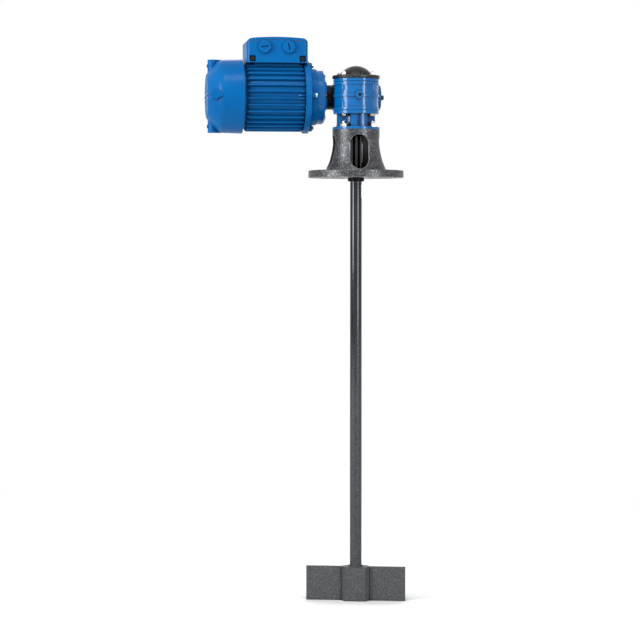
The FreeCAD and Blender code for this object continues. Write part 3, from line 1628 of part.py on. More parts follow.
def cooling_fan():
    """Plastic fan: hub, thin back plate and straight radial blades."""
    piece = drive_piece("cooling_fan")
    bore, hub, tip = bored(s.fan_journal_dia), s.fan_hub_dia / 2, s.fan_dia / 2
    piece.turn([
        (bore, FAN_START),
        (tip, FAN_START),
        (tip, FAN_START + s.fan_plate),
        (hub, FAN_START + s.fan_plate),
        (hub, FAN_END),
        (bore, FAN_END),
    ])
    sketch = piece.sketch("XY_Plane", FAN_START + s.fan_plate)
    draw_outline(sketch, spoke(hub - s.free_gap * 2, tip - s.free_gap, s.fan_blade_thickness, as_size(0)))
    blade_pad = piece.extrude(sketch, s.fan_length - s.fan_plate)
    piece.polar([blade_pad], s.fan_blades)
    return piece


def fan_clip():
    """Spring ring that keeps the fan on its journal."""
    piece = drive_piece("fan_clip")
    inside, outside = bored(s.fan_journal_dia), s.clip_dia / 2
    end = FAN_END + s.clip_thickness
    piece.turn([(inside, FAN_END), (outside, FAN_END), (outside, end), (inside, end)])
    return piece


def cowl_boss(piece):
    """Four drop-shaped bosses for the cowl screws, as high as the cowl and round at the fan end."""
    inside, radius = s.grille_dia / 2, s.cowl_boss_width / 2
    tip = COWL_END - s.cowl_boss_inset
    point = tip - s.cowl_boss_length
    middle = tip - radius
    share = radius / (middle - point)
    side = radius * root(as_size(1) - share * share)
    sketch = piece.sketch("YZ_Plane", inside)
    draw_outline(sketch, [
        (0, point),
        (side, middle - radius * share, radius),
        (0, tip, radius),
        (-side, middle - radius * share),
    ])
    boss = piece.extrude(sketch, s.cowl_back_dia / 2 - inside)
    piece.polar([boss], QUARTER_TURNS)


def fan_cowl():
    """Sheet cowl over the fan with an air grille and four screw bosses on its shoulder."""
    piece = drive_piece("fan_cowl")
    rim, back = s.cowl_rim_dia / 2, s.cowl_back_dia / 2
    shoulder, face = s.cowl_shoulder_dia / 2, s.grille_dia / 2
    back_height = COWL_START + s.cowl_shoulder_start
    shoulder_height = COWL_START + s.cowl_shoulder_depth
    wall, lean = s.cowl_wall, s.cowl_shoulder_lean
    outside = [
        (rim, COWL_START),
        (back, back_height, s.cowl_shoulder_arc),
        (shoulder, shoulder_height, s.cowl_crown_arc),
        (face, COWL_END),
        (0, COWL_END),
    ]
    inside = [
        (0, COWL_END - wall),
        (face, COWL_END - wall, wall - s.cowl_crown_arc),
        (shoulder - wall * cosine(lean), shoulder_height - wall * sine(lean), wall - s.cowl_shoulder_arc),
        (back - wall, back_height),
        (rim - wall, COWL_START),
    ]
    piece.turn(outside + inside)
    cowl_boss(piece)
    piece.turn(inside + [(0, COWL_START)], cut=True)
    points = around(s.cowl_screw_circle_dia)
    seat = COWL_END - s.cowl_boss_inset - s.cowl_screw_sink
    sketch = piece.sketch("XY_Plane", SHIELD_END)
    for across, up in points:
        draw_circle(sketch, across, up, s.cowl_post_dia)
    piece.extrude(sketch, shoulder_height + s.cowl_boss_width / 2 - SHIELD_END)
    hole = s.cowl_screw_dia + s.bolt_clearance * 2
    bore_circles(piece, points, hole, SHIELD_END, COWL_END - SHIELD_END)
    bore_circles(piece, points, s.cowl_screw_head_dia + s.free_gap * 2, seat, COWL_END - seat)
    middle = (face + s.grille_inner_dia / 2) / 2
    rings = (
        (s.grille_inner_dia / 2, middle - s.grille_bridge / 2, s.grille_slots / 2),
        (middle + s.grille_bridge / 2, face - s.grille_bridge / 2, s.grille_slots),
    )
    for start, end, count in rings:
        sketch = piece.sketch("XY_Plane", COWL_END - wall - s.free_gap)
        draw_outline(sketch, spoke(start, end, s.grille_slot_width, as_size(0)))
        slot = piece.extrude(sketch, wall + s.free_gap * 2, cut=True)
        piece.polar([slot], count, cut=True)
    return piece


def cowl_screws():
    """Four long screws through the cowl's bosses into the rear end shield."""
    piece = drive_piece("cowl_screws")
    points = around(s.cowl_screw_circle_dia)
    seat = COWL_END - s.cowl_boss_inset - s.cowl_screw_sink
    sketch = piece.sketch("XY_Plane", seat)
    for across, up in points:
        draw_circle(sketch, across, up, s.cowl_screw_head_dia)
    piece.extrude(sketch, s.cowl_screw_head)
    start = SHIELD_END - s.shield_face
    sketch = piece.sketch("XY_Plane", start)
    for across, up in points:
        draw_circle(sketch, across, up, s.cowl_screw_dia)
    piece.extrude(sketch, seat - start)
    return piece


# Terminal box, in axes of its own: X along the motor, Y to the back, Z up from its foot


def box_piece(label):
    """A piece of the terminal box."""
    return Piece(label, (-BOX_MIDDLE, CENTRE_DISTANCE, BOX_BOTTOM))


def crown_line(level):
    """The crowned rim from one end of the box to the other, starting at a level at its ends."""
    half, run = s.box_length / 2, s.box_corner_run
    crest = crown_arc(s.box_length - run * 2, s.box_crown)
    high = level + s.box_corner_drop
    return [
        (half, level, s.box_corner_arc),
        (half - run, high, crest),
        (run - half, high, s.box_corner_arc),
        (-half, level),
    ]


def crowned(piece, low, high):
    """Pad the outline of the box from a flat foot or a crowned level up to a crowned level."""
    half = s.box_length / 2
    above = high + s.box_corner_drop + s.box_crown + s.gasket
    foot = as_size(0) if low is None else low
    sketch = piece.sketch("XY_Plane", foot)
    draw_box(sketch, 0, 0, s.box_length, s.box_width, s.box_corner_radius)
    piece.extrude(sketch, above - foot)
    sketch = piece.sketch("XZ_Plane")
    draw_outline(sketch, crown_line(high) + [(-half, above + s.gasket), (half, above + s.gasket)])
    piece.extrude(sketch, s.box_width * 2, cut=True, both=True)
    if low is not None:
        sketch = piece.sketch("XZ_Plane")
        draw_outline(sketch, crown_line(low) + [(-half, low - s.gasket), (half, low - s.gasket)])
        piece.extrude(sketch, s.box_width * 2, cut=True, both=True)


def box_inside(piece, start, depth):
    """Cut the room inside the terminal box, with thick corners for the screws."""
    length = s.box_length - s.box_wall * 2
    width = s.box_width - s.box_wall * 2
    sketch = piece.sketch("XY_Plane", start)
    draw_box(sketch, 0, 0, length, width, s.box_inner_radius)
    piece.extrude(sketch, depth, cut=True)


def lid_screw_points():
    """Places of the four lid screws."""
    across = s.box_length / 2 - s.lid_screw_inset
    up = s.box_width / 2 - s.lid_screw_inset
    return [(across, up), (-across, up), (-across, -up), (across, -up)]


def lid_screw_seat():
    """Height of the lid screws' seats, just above the crowned gasket."""
    return s.box_height + s.gasket + s.box_corner_drop + s.lid_screw_floor


def entry_places():
    """Places of the cable entries along the front of the box."""
    start = -s.box_length / 2
    return [start + s.entry_first, start + s.entry_second]


def terminal_box():
    """Cast box with a crowned rim, four screw pockets and two cable entries."""
    piece = box_piece("terminal_box")
    crowned(piece, None, s.box_height)
    rise = s.box_corner_drop + s.box_crown
    box_inside(piece, s.box_floor, s.box_height + rise)
    side, depth = s.box_width / 2, s.pocket_depth
    sketch = piece.sketch("XY_Plane", s.pocket_low)
    for across in (1, -1):
        for up in (1, -1):
            middle = across * (s.box_length / 2 - s.pocket_inset)
            draw_box(sketch, middle, up * (side - depth / 2), s.pocket_size, depth)
    piece.extrude(sketch, s.pocket_height, cut=True)
    sketch = piece.sketch("XZ_Plane", side - s.entry_bore_depth)
    for place in entry_places():
        draw_circle(sketch, place, s.entry_height, s.entry_thread_dia + s.running_fit * 2)
    piece.extrude(sketch, s.entry_bore_depth, cut=True)
    start = lid_screw_seat() - s.lid_screw_depth
    bore_circles(piece, lid_screw_points(), bored(s.lid_screw_dia) * 2, start, s.lid_screw_depth)
    return piece


def terminal_box_gasket():
    """Flat seal that follows the crowned rim of the box."""
    piece = box_piece("terminal_box_gasket")
    rim = s.box_height
    rise = s.box_corner_drop + s.box_crown + s.gasket
    crowned(piece, rim + s.running_fit, rim + s.gasket)
    box_inside(piece, rim, rise)
    hole = s.lid_screw_dia + s.bolt_clearance * 2
    bore_circles(piece, lid_screw_points(), hole, rim, rise)
    return piece


def terminal_box_lid():
    """Crowned cast lid."""
    piece = box_piece("terminal_box_lid")
    low = s.box_height + s.gasket + s.running_fit
    rise = s.box_corner_drop + s.box_crown
    crowned(piece, low, low + s.lid_thickness)
    hole = s.lid_screw_dia + s.bolt_clearance * 2
    bore_circles(piece, lid_screw_points(), hole, low, rise + s.lid_thickness)
    sink = s.lid_screw_head_dia + s.free_gap * 2
    bore_circles(piece, lid_screw_points(), sink, lid_screw_seat(), rise + s.lid_thickness)
    return piece


def lid_screws():
    """Four pan-head screws sunk in the corners of the lid."""
    piece = box_piece("lid_screws")
    seat = lid_screw_seat()
    for start, length, diameter in (
        (seat, s.lid_screw_head, s.lid_screw_head_dia),
        (seat - s.lid_screw_depth, s.lid_screw_depth, s.lid_screw_dia),
    ):
        sketch = piece.sketch("XY_Plane", start)
        for across, up in lid_screw_points():
            draw_circle(sketch, across, up, diameter)
        piece.extrude(sketch, length)
    return piece


def box_screws():
    """Two bright clamp screws in the front pockets of the box."""
    piece = box_piece("box_screws")
    across = s.box_length / 2 - s.pocket_inset
    height = s.pocket_low + s.pocket_height / 2
    seat = s.box_width / 2 - s.pocket_depth
    sketch = piece.sketch("XZ_Plane", seat)
    for place in (across, -across):
        draw_circle(sketch, place, height, s.box_screw_head_dia)
    piece.extrude(sketch, s.box_screw_head)
    return piece


def cable_entry_plugs():
    """Two round blanking plugs with a slot across the head, one turned a quarter round."""
    piece = box_piece("cable_entry_plugs")
    wall = s.box_width / 2
    sketch = piece.sketch("XZ_Plane", wall - s.box_wall)
    for place in entry_places():
        draw_circle(sketch, place, s.entry_height, s.entry_thread_dia)
    piece.extrude(sketch, s.box_wall)
    sketch = piece.sketch("XZ_Plane", wall)
    for place in entry_places():
        draw_circle(sketch, place, s.entry_height, s.entry_plug_dia)
    piece.extrude(sketch, s.entry_plug_head)
    first, second = entry_places()
    sketch = piece.sketch("XZ_Plane", wall + s.entry_plug_head - s.plug_slot_depth)
    draw_box(sketch, first, s.entry_height, s.entry_plug_dia, s.plug_slot_width)
    draw_box(sketch, second, s.entry_height, s.plug_slot_width, s.entry_plug_dia)
    piece.extrude(sketch, s.plug_slot_depth * 2, cut=True)
    return piece


def terminal_board():
    """Moulded block on the floor of the box that carries the terminals."""
    piece = box_piece("terminal_board")
    sketch = piece.sketch("XY_Plane", s.box_floor)
    draw_box(sketch, 0, 0, s.board_length, s.board_width)
    piece.extrude(sketch, s.board_thickness)
    return piece


def terminal_studs():
    """Six brass terminals in two rows, each with its nut."""
    piece = box_piece("terminal_studs")
    top = s.box_floor + s.board_thickness
    points = []
    for column in (-1, 0, 1):
        for row in (-1, 1):
            points.append((column * s.terminal_pitch, row * s.terminal_rows / 2))
    flats = s.shield_bolt_flats
    height = s.terminal_dia
    return screws(piece, points, height, flats, s.terminal_dia, top, s.terminal_length, top)


def build_pieces():
    """Every sub-part of the agitator."""
    return [
        agitator_shaft(), paddle_boss(), blade("left_blade", -1), blade("right_blade", 1), weld_beads(),
        lantern(), guide_bearing_outer_ring(), guide_bearing_collar(), collar_screw(),
        output_flange(), output_seal(), lantern_studs(), housing_screws(),
        gear_housing(), oil_level_plug(), top_cover(), top_cover_bolts(),
        worm_wheel(), output_sleeve(), sleeve_key(), retaining_washer(), retaining_bolt(),
        wheel_bearings("wheel_bearing_inner_rings", inner_ring),
        wheel_bearings("wheel_bearing_outer_rings", outer_ring),
        worm_shaft(), worm_seal(), neck_ring(), worm_end_cover(),
        worm_bearings("worm_bearing_inner_rings", inner_ring),
        worm_bearings("worm_bearing_outer_rings", outer_ring),
        input_flange(), motor_bolts(),
        front_endshield(), stator_frame(), rear_endshield(), endshield_screws(),
        stator_core(), stator_windings(), rotor_core(), rotor_shaft(), motor_key(), motor_shaft_seal(),
        motor_bearings("motor_bearing_inner_rings", inner_ring),
        motor_bearings("motor_bearing_outer_rings", outer_ring),
        cooling_fan(), fan_clip(), fan_cowl(), cowl_screws(),
        terminal_box(), terminal_box_gasket(), terminal_box_lid(), lid_screws(), box_screws(),
        cable_entry_plugs(), terminal_board(), terminal_studs(),
    ]


def check_document():
    """Stop when any object of the document failed to build."""
    for item in doc.Objects:
        if "Invalid" in item.State or "Error" in item.State:
            raise RuntimeError(f"{item.Label} failed: {item.State}")


def write_pieces(pieces):
    """Check each finished shape and write it to a file named after its label."""
    os.makedirs("parts", exist_ok=True)
    for piece in pieces:
        shape = piece.body.Shape
        if shape.isNull() or not shape.isValid():
            raise RuntimeError(f"{piece.body.Label} has no valid shape")
        shape.exportStep(os.path.join("parts", piece.body.Label + ".step"))


all_pieces = build_pieces()
doc.recompute()
check_document()
write_pieces(all_pieces)
print(f"{len(all_pieces)} sub-parts written")
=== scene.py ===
"""Dressed model of an electric tank agitator, on the frame that the CAD source packs.

A flange motor and a worm gear unit sit on a cast lantern, and a long shaft with a flat
two-blade paddle hangs from them. Lengths are in metres in the CAD's frame: origin on the
shaft's axis at the underside of the tank flange, +Z up, +X away from the motor.
"""
import json
import logging
import math
from collections.abc import Sequence
from dataclasses import asdict, dataclass, field, replace
from enum import Enum

import bmesh
import bpy
from bpy.types import ID, Material, Node, NodeSocket, NodeTree, Object
from mathutils import Matrix, Vector


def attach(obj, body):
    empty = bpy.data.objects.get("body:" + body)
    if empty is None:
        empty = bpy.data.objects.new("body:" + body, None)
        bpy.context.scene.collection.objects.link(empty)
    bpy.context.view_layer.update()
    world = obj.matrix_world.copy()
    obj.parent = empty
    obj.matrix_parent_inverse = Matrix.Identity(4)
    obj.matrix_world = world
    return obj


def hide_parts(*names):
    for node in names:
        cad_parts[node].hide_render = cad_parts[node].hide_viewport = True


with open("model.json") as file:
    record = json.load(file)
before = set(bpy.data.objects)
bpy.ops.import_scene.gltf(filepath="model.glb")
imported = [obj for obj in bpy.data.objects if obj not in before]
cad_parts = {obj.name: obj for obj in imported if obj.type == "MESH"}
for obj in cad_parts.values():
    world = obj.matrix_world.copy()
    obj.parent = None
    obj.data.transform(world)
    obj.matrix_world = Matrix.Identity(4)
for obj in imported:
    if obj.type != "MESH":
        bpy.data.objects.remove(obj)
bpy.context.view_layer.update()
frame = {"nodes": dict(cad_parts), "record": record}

LOG = logging.getLogger("agitator")
Point = tuple[float, float, float]
Colour = tuple[float, float, float, float]

FULL_TURN = 2 * math.pi
QUARTER_TURN = math.pi / 2
MM = 0.001
MERGE = 1e-7                      # points nearer than this are one, in metres
SHARP = math.radians(32)          # edges that turn more than this are softened
MOTOR_AXIS = (50.0, 173.0)        # the Y and Z of the motor's and the worm's axis, in millimetres
AXIS_INPUTS = ("Axis X", "Axis Y", "Axis Z")
SEEN_RAYS = ("Is Camera Ray", "Is Glossy Ray", "Is Transmission Ray")
WHITE = (1.0, 1.0, 1.0, 1.0)


class Body(Enum):
    """The three bodies that move against each other."""

    DRIVE = "drive_body"
    ROTOR = "rotor"
    AGITATOR = "agitator"


class Slot(Enum):
    """The record's material slots."""

    CAST_IRON = "cast_iron_paint"
    GEAR = "gear_paint"
    MOTOR = "motor_paint"
    ZINC = "zinc_steel"
    BEARING = "bearing_steel"
    SHAFT = "shaft_steel"
    PADDLE = "paddle_coat"
    BLACK_OXIDE = "black_oxide"
    GROUND = "ground_steel"
    BRONZE = "wheel_bronze"
    CORE = "core_steel"
    COPPER = "winding_copper"
    RUBBER = "seal_rubber"
    PLASTIC = "black_plastic"


def srgb(code: str) -> Colour:
    """A colour as it looks on a screen, turned into linear light.

    Args:
        code: Six hexadecimal digits.

    Returns:
        Red, green, blue and an alpha of 1.
    """
    parts = [int(code[i:i + 2], 16) / 255 for i in (0, 2, 4)]
    linear = [p / 12.92 if p <= 0.04045 else ((p + 0.055) / 1.055) ** 2.4 for p in parts]
    return (linear[0], linear[1], linear[2], 1.0)


# Sums on sockets


class Socket:
    """A socket's value that takes part in Python sums, each of which adds a Math node."""

    def __init__(self, graph: "Graph", socket: NodeSocket) -> None:
        """Wraps a tree's output that gives a number."""
        self.graph = graph
        self.socket = socket

    def __add__(self, other: "Socket | float") -> "Socket":
        """The sum."""
        return self.graph.math("ADD", self, other)

    def __radd__(self, other: float) -> "Socket":
        """The sum, with the number first."""
        return self.graph.math("ADD", other, self)

    def __sub__(self, other: "Socket | float") -> "Socket":
        """The difference."""
        return self.graph.math("SUBTRACT", self, other)

    def __rsub__(self, other: float) -> "Socket":
        """The difference, with the number first."""
        return self.graph.math("SUBTRACT", other, self)

    def __mul__(self, other: "Socket | float") -> "Socket":
        """The product."""
        return self.graph.math("MULTIPLY", self, other)

    def __truediv__(self, other: "Socket | float") -> "Socket":
        """The quotient."""
        return self.graph.math("DIVIDE", self, other)

    def swing(self, amount: float) -> "Socket":
        """The value's swing round 0.5, times an amount."""
        return (self - 0.5) * amount

    def ramp(self, low: float, high: float) -> "Socket":
        """A smooth rise from 0 at low to 1 at high.

        Args:
            low: The value that gives 0.
            high: The value that gives 1. Below low, the ramp falls.

        Returns:
            A number from 0 to 1.
        """
        settings = {"interpolation_type": "SMOOTHSTEP"}
        node = self.graph.node("ShaderNodeMapRange", settings, {0: self, 1: low, 2: high})
        return Socket(self.graph, node.outputs[0])


class Graph:
    """A tree of nodes, for a material or for geometry."""

    def __init__(self, tree: NodeTree) -> None:
        """Keeps the tree that nodes are added to."""
        self.tree = tree

    def node(self, kind: str, settings: dict[str, object], values: dict[int | str, object]) -> Node:
        """Adds a node.

        Args:
            kind: The node's type.
            settings: Its own settings, which are set first.
            values: A number, a colour or a link for each socket, by index or name.

        Returns:
            The node.
        """
        node = self.tree.nodes.new(kind)
        for name, value in settings.items():
            setattr(node, name, value)
        for name, value in values.items():
            source = value.socket if isinstance(value, Socket) else value
            if isinstance(source, NodeSocket):
                self.tree.links.new(source, node.inputs[name])
            else:
                node.inputs[name].default_value = source
        return node

    def math(self, operation: str, *values: "Socket | float") -> Socket:
        """The result of a Math node on numbers in their order."""
        node = self.node("ShaderNodeMath", {"operation": operation}, dict(enumerate(values)))
        return Socket(self, node.outputs[0])

    def seen(self) -> Socket:
        """Tells rays that end in the picture from rays that only carry light.

        Returns:
            1 where the camera looks, straight or in a reflection, otherwise 0.
        """
        rays = self.node("ShaderNodeLightPath", {}, {}).outputs
        straight, glossy, through = (Socket(self, rays[name]) for name in SEEN_RAYS)
        return self.math("MAXIMUM", self.math("MAXIMUM", straight, glossy), through)


class Shader(Graph):
    """A material and the nodes that are added to it."""

    OPEN_SAMPLES = 8
    BEVEL_SAMPLES = 6
    EDGE_RAMP = (0.02, 0.22)

    def __init__(self, name: str) -> None:
        """Starts an empty material.

        Args:
            name: The material's name.
        """
        self.material = bpy.data.materials.new(name)
        self.material.use_nodes = True
        super().__init__(self.material.node_tree)
        self.tree.nodes.clear()

    def place(self, stretch: Point = (1.0, 1.0, 1.0)) -> NodeSocket:
        """The place in the frame that all pieces share, made finer along each axis."""
        place = self.node("ShaderNodeTexCoord", {}, {}).outputs["Object"]
        return self.node("ShaderNodeMapping", {}, {"Vector": place, "Scale": stretch}).outputs[0]

    def noise(self, place: NodeSocket, scale: float, detail: float = 2.0,
              roughness: float = 0.5) -> Socket:
        """Random variation from 0 to 1, with so many spots in a metre and finer layers."""
        values = {"Vector": place, "Scale": scale, "Detail": detail, "Roughness": roughness}
        return Socket(self, self.node("ShaderNodeTexNoise", {}, values).outputs[0])

    def cells(self, place: NodeSocket, scale: float) -> Socket:
        """The distance to the nearest of many points, so many of which lie in a metre."""
        values = {"Vector": place, "Scale": scale}
        return Socket(self, self.node("ShaderNodeTexVoronoi", {}, values).outputs["Distance"])

    def mix(self, share: "Socket | float", low: "Colour | NodeSocket",
            high: "Colour | NodeSocket") -> NodeSocket:
        """A blend of two colours, with a share of the second one."""
        settings = {"data_type": "RGBA"}
        return self.node("ShaderNodeMix", settings, {0: share, 6: low, 7: high}).outputs[2]

    def open_share(self, reach: float) -> Socket:
        """How open the surface is, for the painted shade that darkens hollows and the painted shadow
        on the floor.

        Args:
            reach: How far a wall may stand to close the surface in, in metres.

        Returns:
            1 in the open, towards 0 deep in a hollow.
        """
        settings = {"samples": self.OPEN_SAMPLES}
        node = self.node("ShaderNodeAmbientOcclusion", settings, {"Distance": reach})
        return Socket(self, node.outputs["AO"])

    def edge_share(self, radius: float) -> Socket:
        """Where the surface turns a sharp edge, for the marks along it: worn edges with a painted
        highlight on paint and iron, darker edges on plate.

        Args:
            radius: How far from the edge the marks reach, in metres.

        Returns:
            0 on open faces, rising along edges.
        """
        rounded = self.rounded(radius)
        flat = self.node("ShaderNodeNewGeometry", {}, {}).outputs["True Normal"]
        settings = {"operation": "DOT_PRODUCT"}
        match = self.node("ShaderNodeVectorMath", settings, {0: rounded, 1: flat})
        return (1 - Socket(self, match.outputs["Value"])).ramp(*self.EDGE_RAMP)

    def rounded(self, radius: float) -> NodeSocket:
        """The normal of a surface whose sharp edges seem to have a radius, in metres."""
        settings = {"samples": self.BEVEL_SAMPLES}
        return self.node("ShaderNodeBevel", settings, {"Radius": radius}).outputs[0]

    def bump(self, height: Socket, distance: float, edge: float = 0.0) -> NodeSocket:
        """A surface normal that follows a height and rounds sharp edges off.

        Args:
            height: The height, from 0 to 1.
            distance: How far 1 stands over 0, in metres.
            edge: The radius that sharp edges seem to have, in metres.

        Returns:
            The normal.
        """
        values = {"Height": height, "Distance": distance}
        if edge > 0:
            values["Normal"] = self.rounded(edge)
        return self.node("ShaderNodeBump", {}, values).outputs[0]

    def surface(self, values: dict[str, object]) -> Material:
        """Ends the tree in a Principled shader.

        Args:
            values: The shader's sockets by name.

        Returns:
            The material.
        """
        shader = self.node("ShaderNodeBsdfPrincipled", {}, values)
        self.node("ShaderNodeOutputMaterial", {}, {"Surface": shader.outputs[0]})
        return self.material


# Finishes


@dataclass(frozen=True)
class Finish:
    """What all finishes share: a name, a main colour and the painted shade that darkens hollows."""

    name: str
    colour: Colour

    # DIRT: how far painted shade darkens a surface that a hollow closes in
    REACH, CLOSING, DIRT = 0.01, (0.2, 0.8), 0.8

    def closed(self, shader: Shader) -> Socket:
        """How far a hollow closes the surface in, from 0 in the open to 1."""
        return 1 - shader.open_share(self.REACH).ramp(*self.CLOSING)


@dataclass(frozen=True)
class Paint(Finish):
    """Sprayed enamel on a casting: a soft orange-peel skin, with painted shade in hollows and pale
    edges that are worn paint and a painted highlight.
    """

    shade: Colour
    # hollow: the colour of the painted shade in hollows. worn: the edge colour, worn paint and a
    # painted highlight
    hollow: Colour
    worn: Colour
    roughness: float
    coat: float
    specular: float
    skin: float
    # sink: how far the painted shade darkens hollows
    sink: float = 0.92

    REACH, CLOSING = 0.016, (0.30, 0.95)
    CLOUDS, CLOUDING, CLOUD_SHARE, CLOUD_SWING = 14.0, (0.35, 0.75), 0.5, 0.10
    PEEL, PEEL_SHARE = 420.0, 0.75
    GRAIN, GRAIN_SHARE, GRAIN_SWING = 1500.0, 0.25, 0.06
    EDGE, WEAR = 0.0011, 0.45
    COAT_ROUGHNESS = 0.12

    def material(self) -> Material:
        """Builds the finish's nodes.

        Returns:
            The material.
        """
        shader = Shader(self.name)
        place = shader.place()
        cloud = shader.noise(place, self.CLOUDS, 3.0)
        peel = shader.noise(place, self.PEEL, 1.0)
        grain = shader.noise(place, self.GRAIN, 2.0)
        closed = self.closed(shader)
        # Edges get worn paint with a painted highlight, kept out of hollows
        wear_and_highlight = shader.edge_share(self.EDGE) * (1 - closed) * self.WEAR
        base = shader.mix(cloud.ramp(*self.CLOUDING) * self.CLOUD_SHARE, self.colour, self.shade)
        # Painted shade: the paint turns to the hollow colour where a hollow closes it in
        base = shader.mix(closed * self.sink, base, self.hollow)
        height = peel * self.PEEL_SHARE + grain * self.GRAIN_SHARE
        dullness = cloud.swing(self.CLOUD_SWING) + grain.swing(self.GRAIN_SWING)
        return shader.surface({
            "Base Color": shader.mix(wear_and_highlight, base, self.worn),
            "Roughness": self.roughness + dullness,
            "Specular IOR Level": self.specular,
            "Coat Weight": self.coat,
            "Coat Roughness": self.COAT_ROUGHNESS,
            "Normal": shader.bump(height, self.skin, self.EDGE),
        })


@dataclass(frozen=True)
class CastIron(Finish):
    """Sand-cast iron under a thin dark primer: fine pits, pale grains, painted shade in hollows and
    pale edges that are worn primer and a painted highlight.
    """

    pale: Colour
    # dark: pits, clouds and the painted shade in hollows. worn: the edge colour, worn primer and a
    # painted highlight
    dark: Colour
    worn: Colour
    roughness: float

    REACH, CLOSING = 0.10, (0.32, 0.85)
    SAND, SANDING, SAND_HEIGHT, SAND_SWING = 330.0, (0.47, 0.66), 0.7, 0.25
    PITS, PITTING, PIT_SHARE = 260.0, (0.05, 0.32), 0.75
    PIT_WALL, PIT_HEIGHT = (0.0, 0.35), 0.5
    CLOUDS, CLOUDING, CLOUD_SHARE = 24.0, (0.45, 0.80), 0.45
    EDGE, WEAR = 0.0016, 0.8
    METALLIC, DEPTH = 0.8, 0.00034

    def material(self) -> Material:
        """Builds the finish's nodes.

        Returns:
            The material.
        """
        shader = Shader(self.name)
        place = shader.place()
        sand = shader.noise(place, self.SAND, 5.0, 0.68)
        pits = shader.cells(place, self.PITS)
        cloud = shader.noise(place, self.CLOUDS, 3.0)
        closed = self.closed(shader)
        # Edges get worn primer with a painted highlight, kept out of hollows
        wear_and_highlight = shader.edge_share(self.EDGE) * (1 - closed) * self.WEAR
        base = shader.mix(sand.ramp(*self.SANDING), self.colour, self.pale)
        base = shader.mix((1 - pits.ramp(*self.PITTING)) * self.PIT_SHARE, base, self.dark)
        base = shader.mix(cloud.ramp(*self.CLOUDING) * self.CLOUD_SHARE, base, self.dark)
        # Painted shade: hollows turn dark, out to a wide reach
        base = shader.mix(closed, base, self.dark)
        height = sand * self.SAND_HEIGHT + pits.ramp(*self.PIT_WALL) * self.PIT_HEIGHT
        return shader.surface({
            "Base Color": shader.mix(wear_and_highlight, base, self.worn),
            "Metallic": self.METALLIC,
            "Roughness": self.roughness + sand.swing(self.SAND_SWING),
            "Normal": shader.bump(height, self.DEPTH, self.EDGE),
        })


@dataclass(frozen=True)
class TurnedSteel(Finish):
    """Turned steel, bright at its top and dulled by use towards its foot."""

    # worn: a darker tone for clouds and for the painted shade in hollows
    worn: Colour
    dull: Colour
    roughness: float
    dull_roughness: float
    dull_from: float
    dull_to: float

    REACH, CLOSING, DIRT = 0.05, (0.10, 0.60), 0.7
    RINGS, RING_STRETCH, RING_SWING = 30.0, (1.0, 1.0, 40.0), 0.10
    CLOUDS, CLOUD_STRETCH, CLOUDING = 40.0, (1.0, 1.0, 0.25), (0.40, 0.75)
    CLOUD_SWING, CLOUD_LIFT = 0.06, 0.12
    GRAIN, SPECKLING = 520.0, (0.42, 0.70)
    METAL_LOSS, DEPTH, EDGE = 0.7, 0.00003, 0.0006

    def material(self) -> Material:
        """Builds the finish's nodes.

        Returns:
            The material.
        """
        shader = Shader(self.name)
        place = shader.place()
        rings = shader.noise(shader.place(self.RING_STRETCH), self.RINGS, 2.0)
        cloud = shader.noise(shader.place(self.CLOUD_STRETCH), self.CLOUDS, 3.0)
        grain = shader.noise(place, self.GRAIN, 4.0, 0.65)
        height = Socket(shader, shader.node("ShaderNodeSeparateXYZ", {}, {0: place}).outputs[2])
        dull = (height + cloud.swing(self.CLOUD_LIFT)).ramp(self.dull_from, self.dull_to)
        speckle = shader.mix(grain.ramp(*self.SPECKLING), self.worn, self.dull)
        base = shader.mix(cloud.ramp(*self.CLOUDING), self.colour, self.worn)
        base = shader.mix(dull, base, speckle)
        rough = self.roughness + dull * (self.dull_roughness - self.roughness)
        return shader.surface({
            # Painted shade: hollows turn to the worn colour
            "Base Color": shader.mix(self.closed(shader) * self.DIRT, base, self.worn),
            "Metallic": 1 - dull * self.METAL_LOSS,
            "Roughness": rough + rings.swing(self.RING_SWING) + cloud.swing(self.CLOUD_SWING),
            "Normal": shader.bump(rings * 0.5 + grain * 0.5, self.DEPTH, self.EDGE),
        })


@dataclass(frozen=True)
class GrainCoat(Finish):
    """A rough dark coat on welded plate, speckled with pale grains."""

    pale: Colour
    dark: Colour
    roughness: float

    REACH, CLOSING = 0.012, (0.20, 0.80)
    GRAIN, GRAIN_SWING = 420.0, 0.2
    PALE_GRAINS, DARK_GRAINS, DARK_SHARE = (0.47, 0.68), (0.30, 0.46), 0.6
    CLOUDS, CLOUDING, CLOUD_SHARE = 30.0, (0.5, 0.9), 0.3
    EDGE, EDGE_SHADE = 0.0020, 0.85
    METALLIC, DEPTH = 0.1, 0.00022

    def material(self) -> Material:
        """Builds the finish's nodes.

        Returns:
            The material.
        """
        shader = Shader(self.name)
        place = shader.place()
        grain = shader.noise(place, self.GRAIN, 5.0, 0.70)
        cloud = shader.noise(place, self.CLOUDS, 3.0)
        base = shader.mix(grain.ramp(*self.PALE_GRAINS), self.colour, self.pale)
        base = shader.mix((1 - grain.ramp(*self.DARK_GRAINS)) * self.DARK_SHARE, base, self.dark)
        base = shader.mix(cloud.ramp(*self.CLOUDING) * self.CLOUD_SHARE, base, self.colour)
        # Painted shade: hollows turn to the dark colour
        base = shader.mix(self.closed(shader) * self.DIRT, base, self.dark)
        edges = shader.edge_share(self.EDGE)
        return shader.surface({
            "Base Color": shader.mix(edges * self.EDGE_SHADE, base, self.dark),
            "Roughness": self.roughness + grain.swing(self.GRAIN_SWING),
            "Metallic": self.METALLIC,
            "Normal": shader.bump(grain, self.DEPTH, self.EDGE / 2),
        })


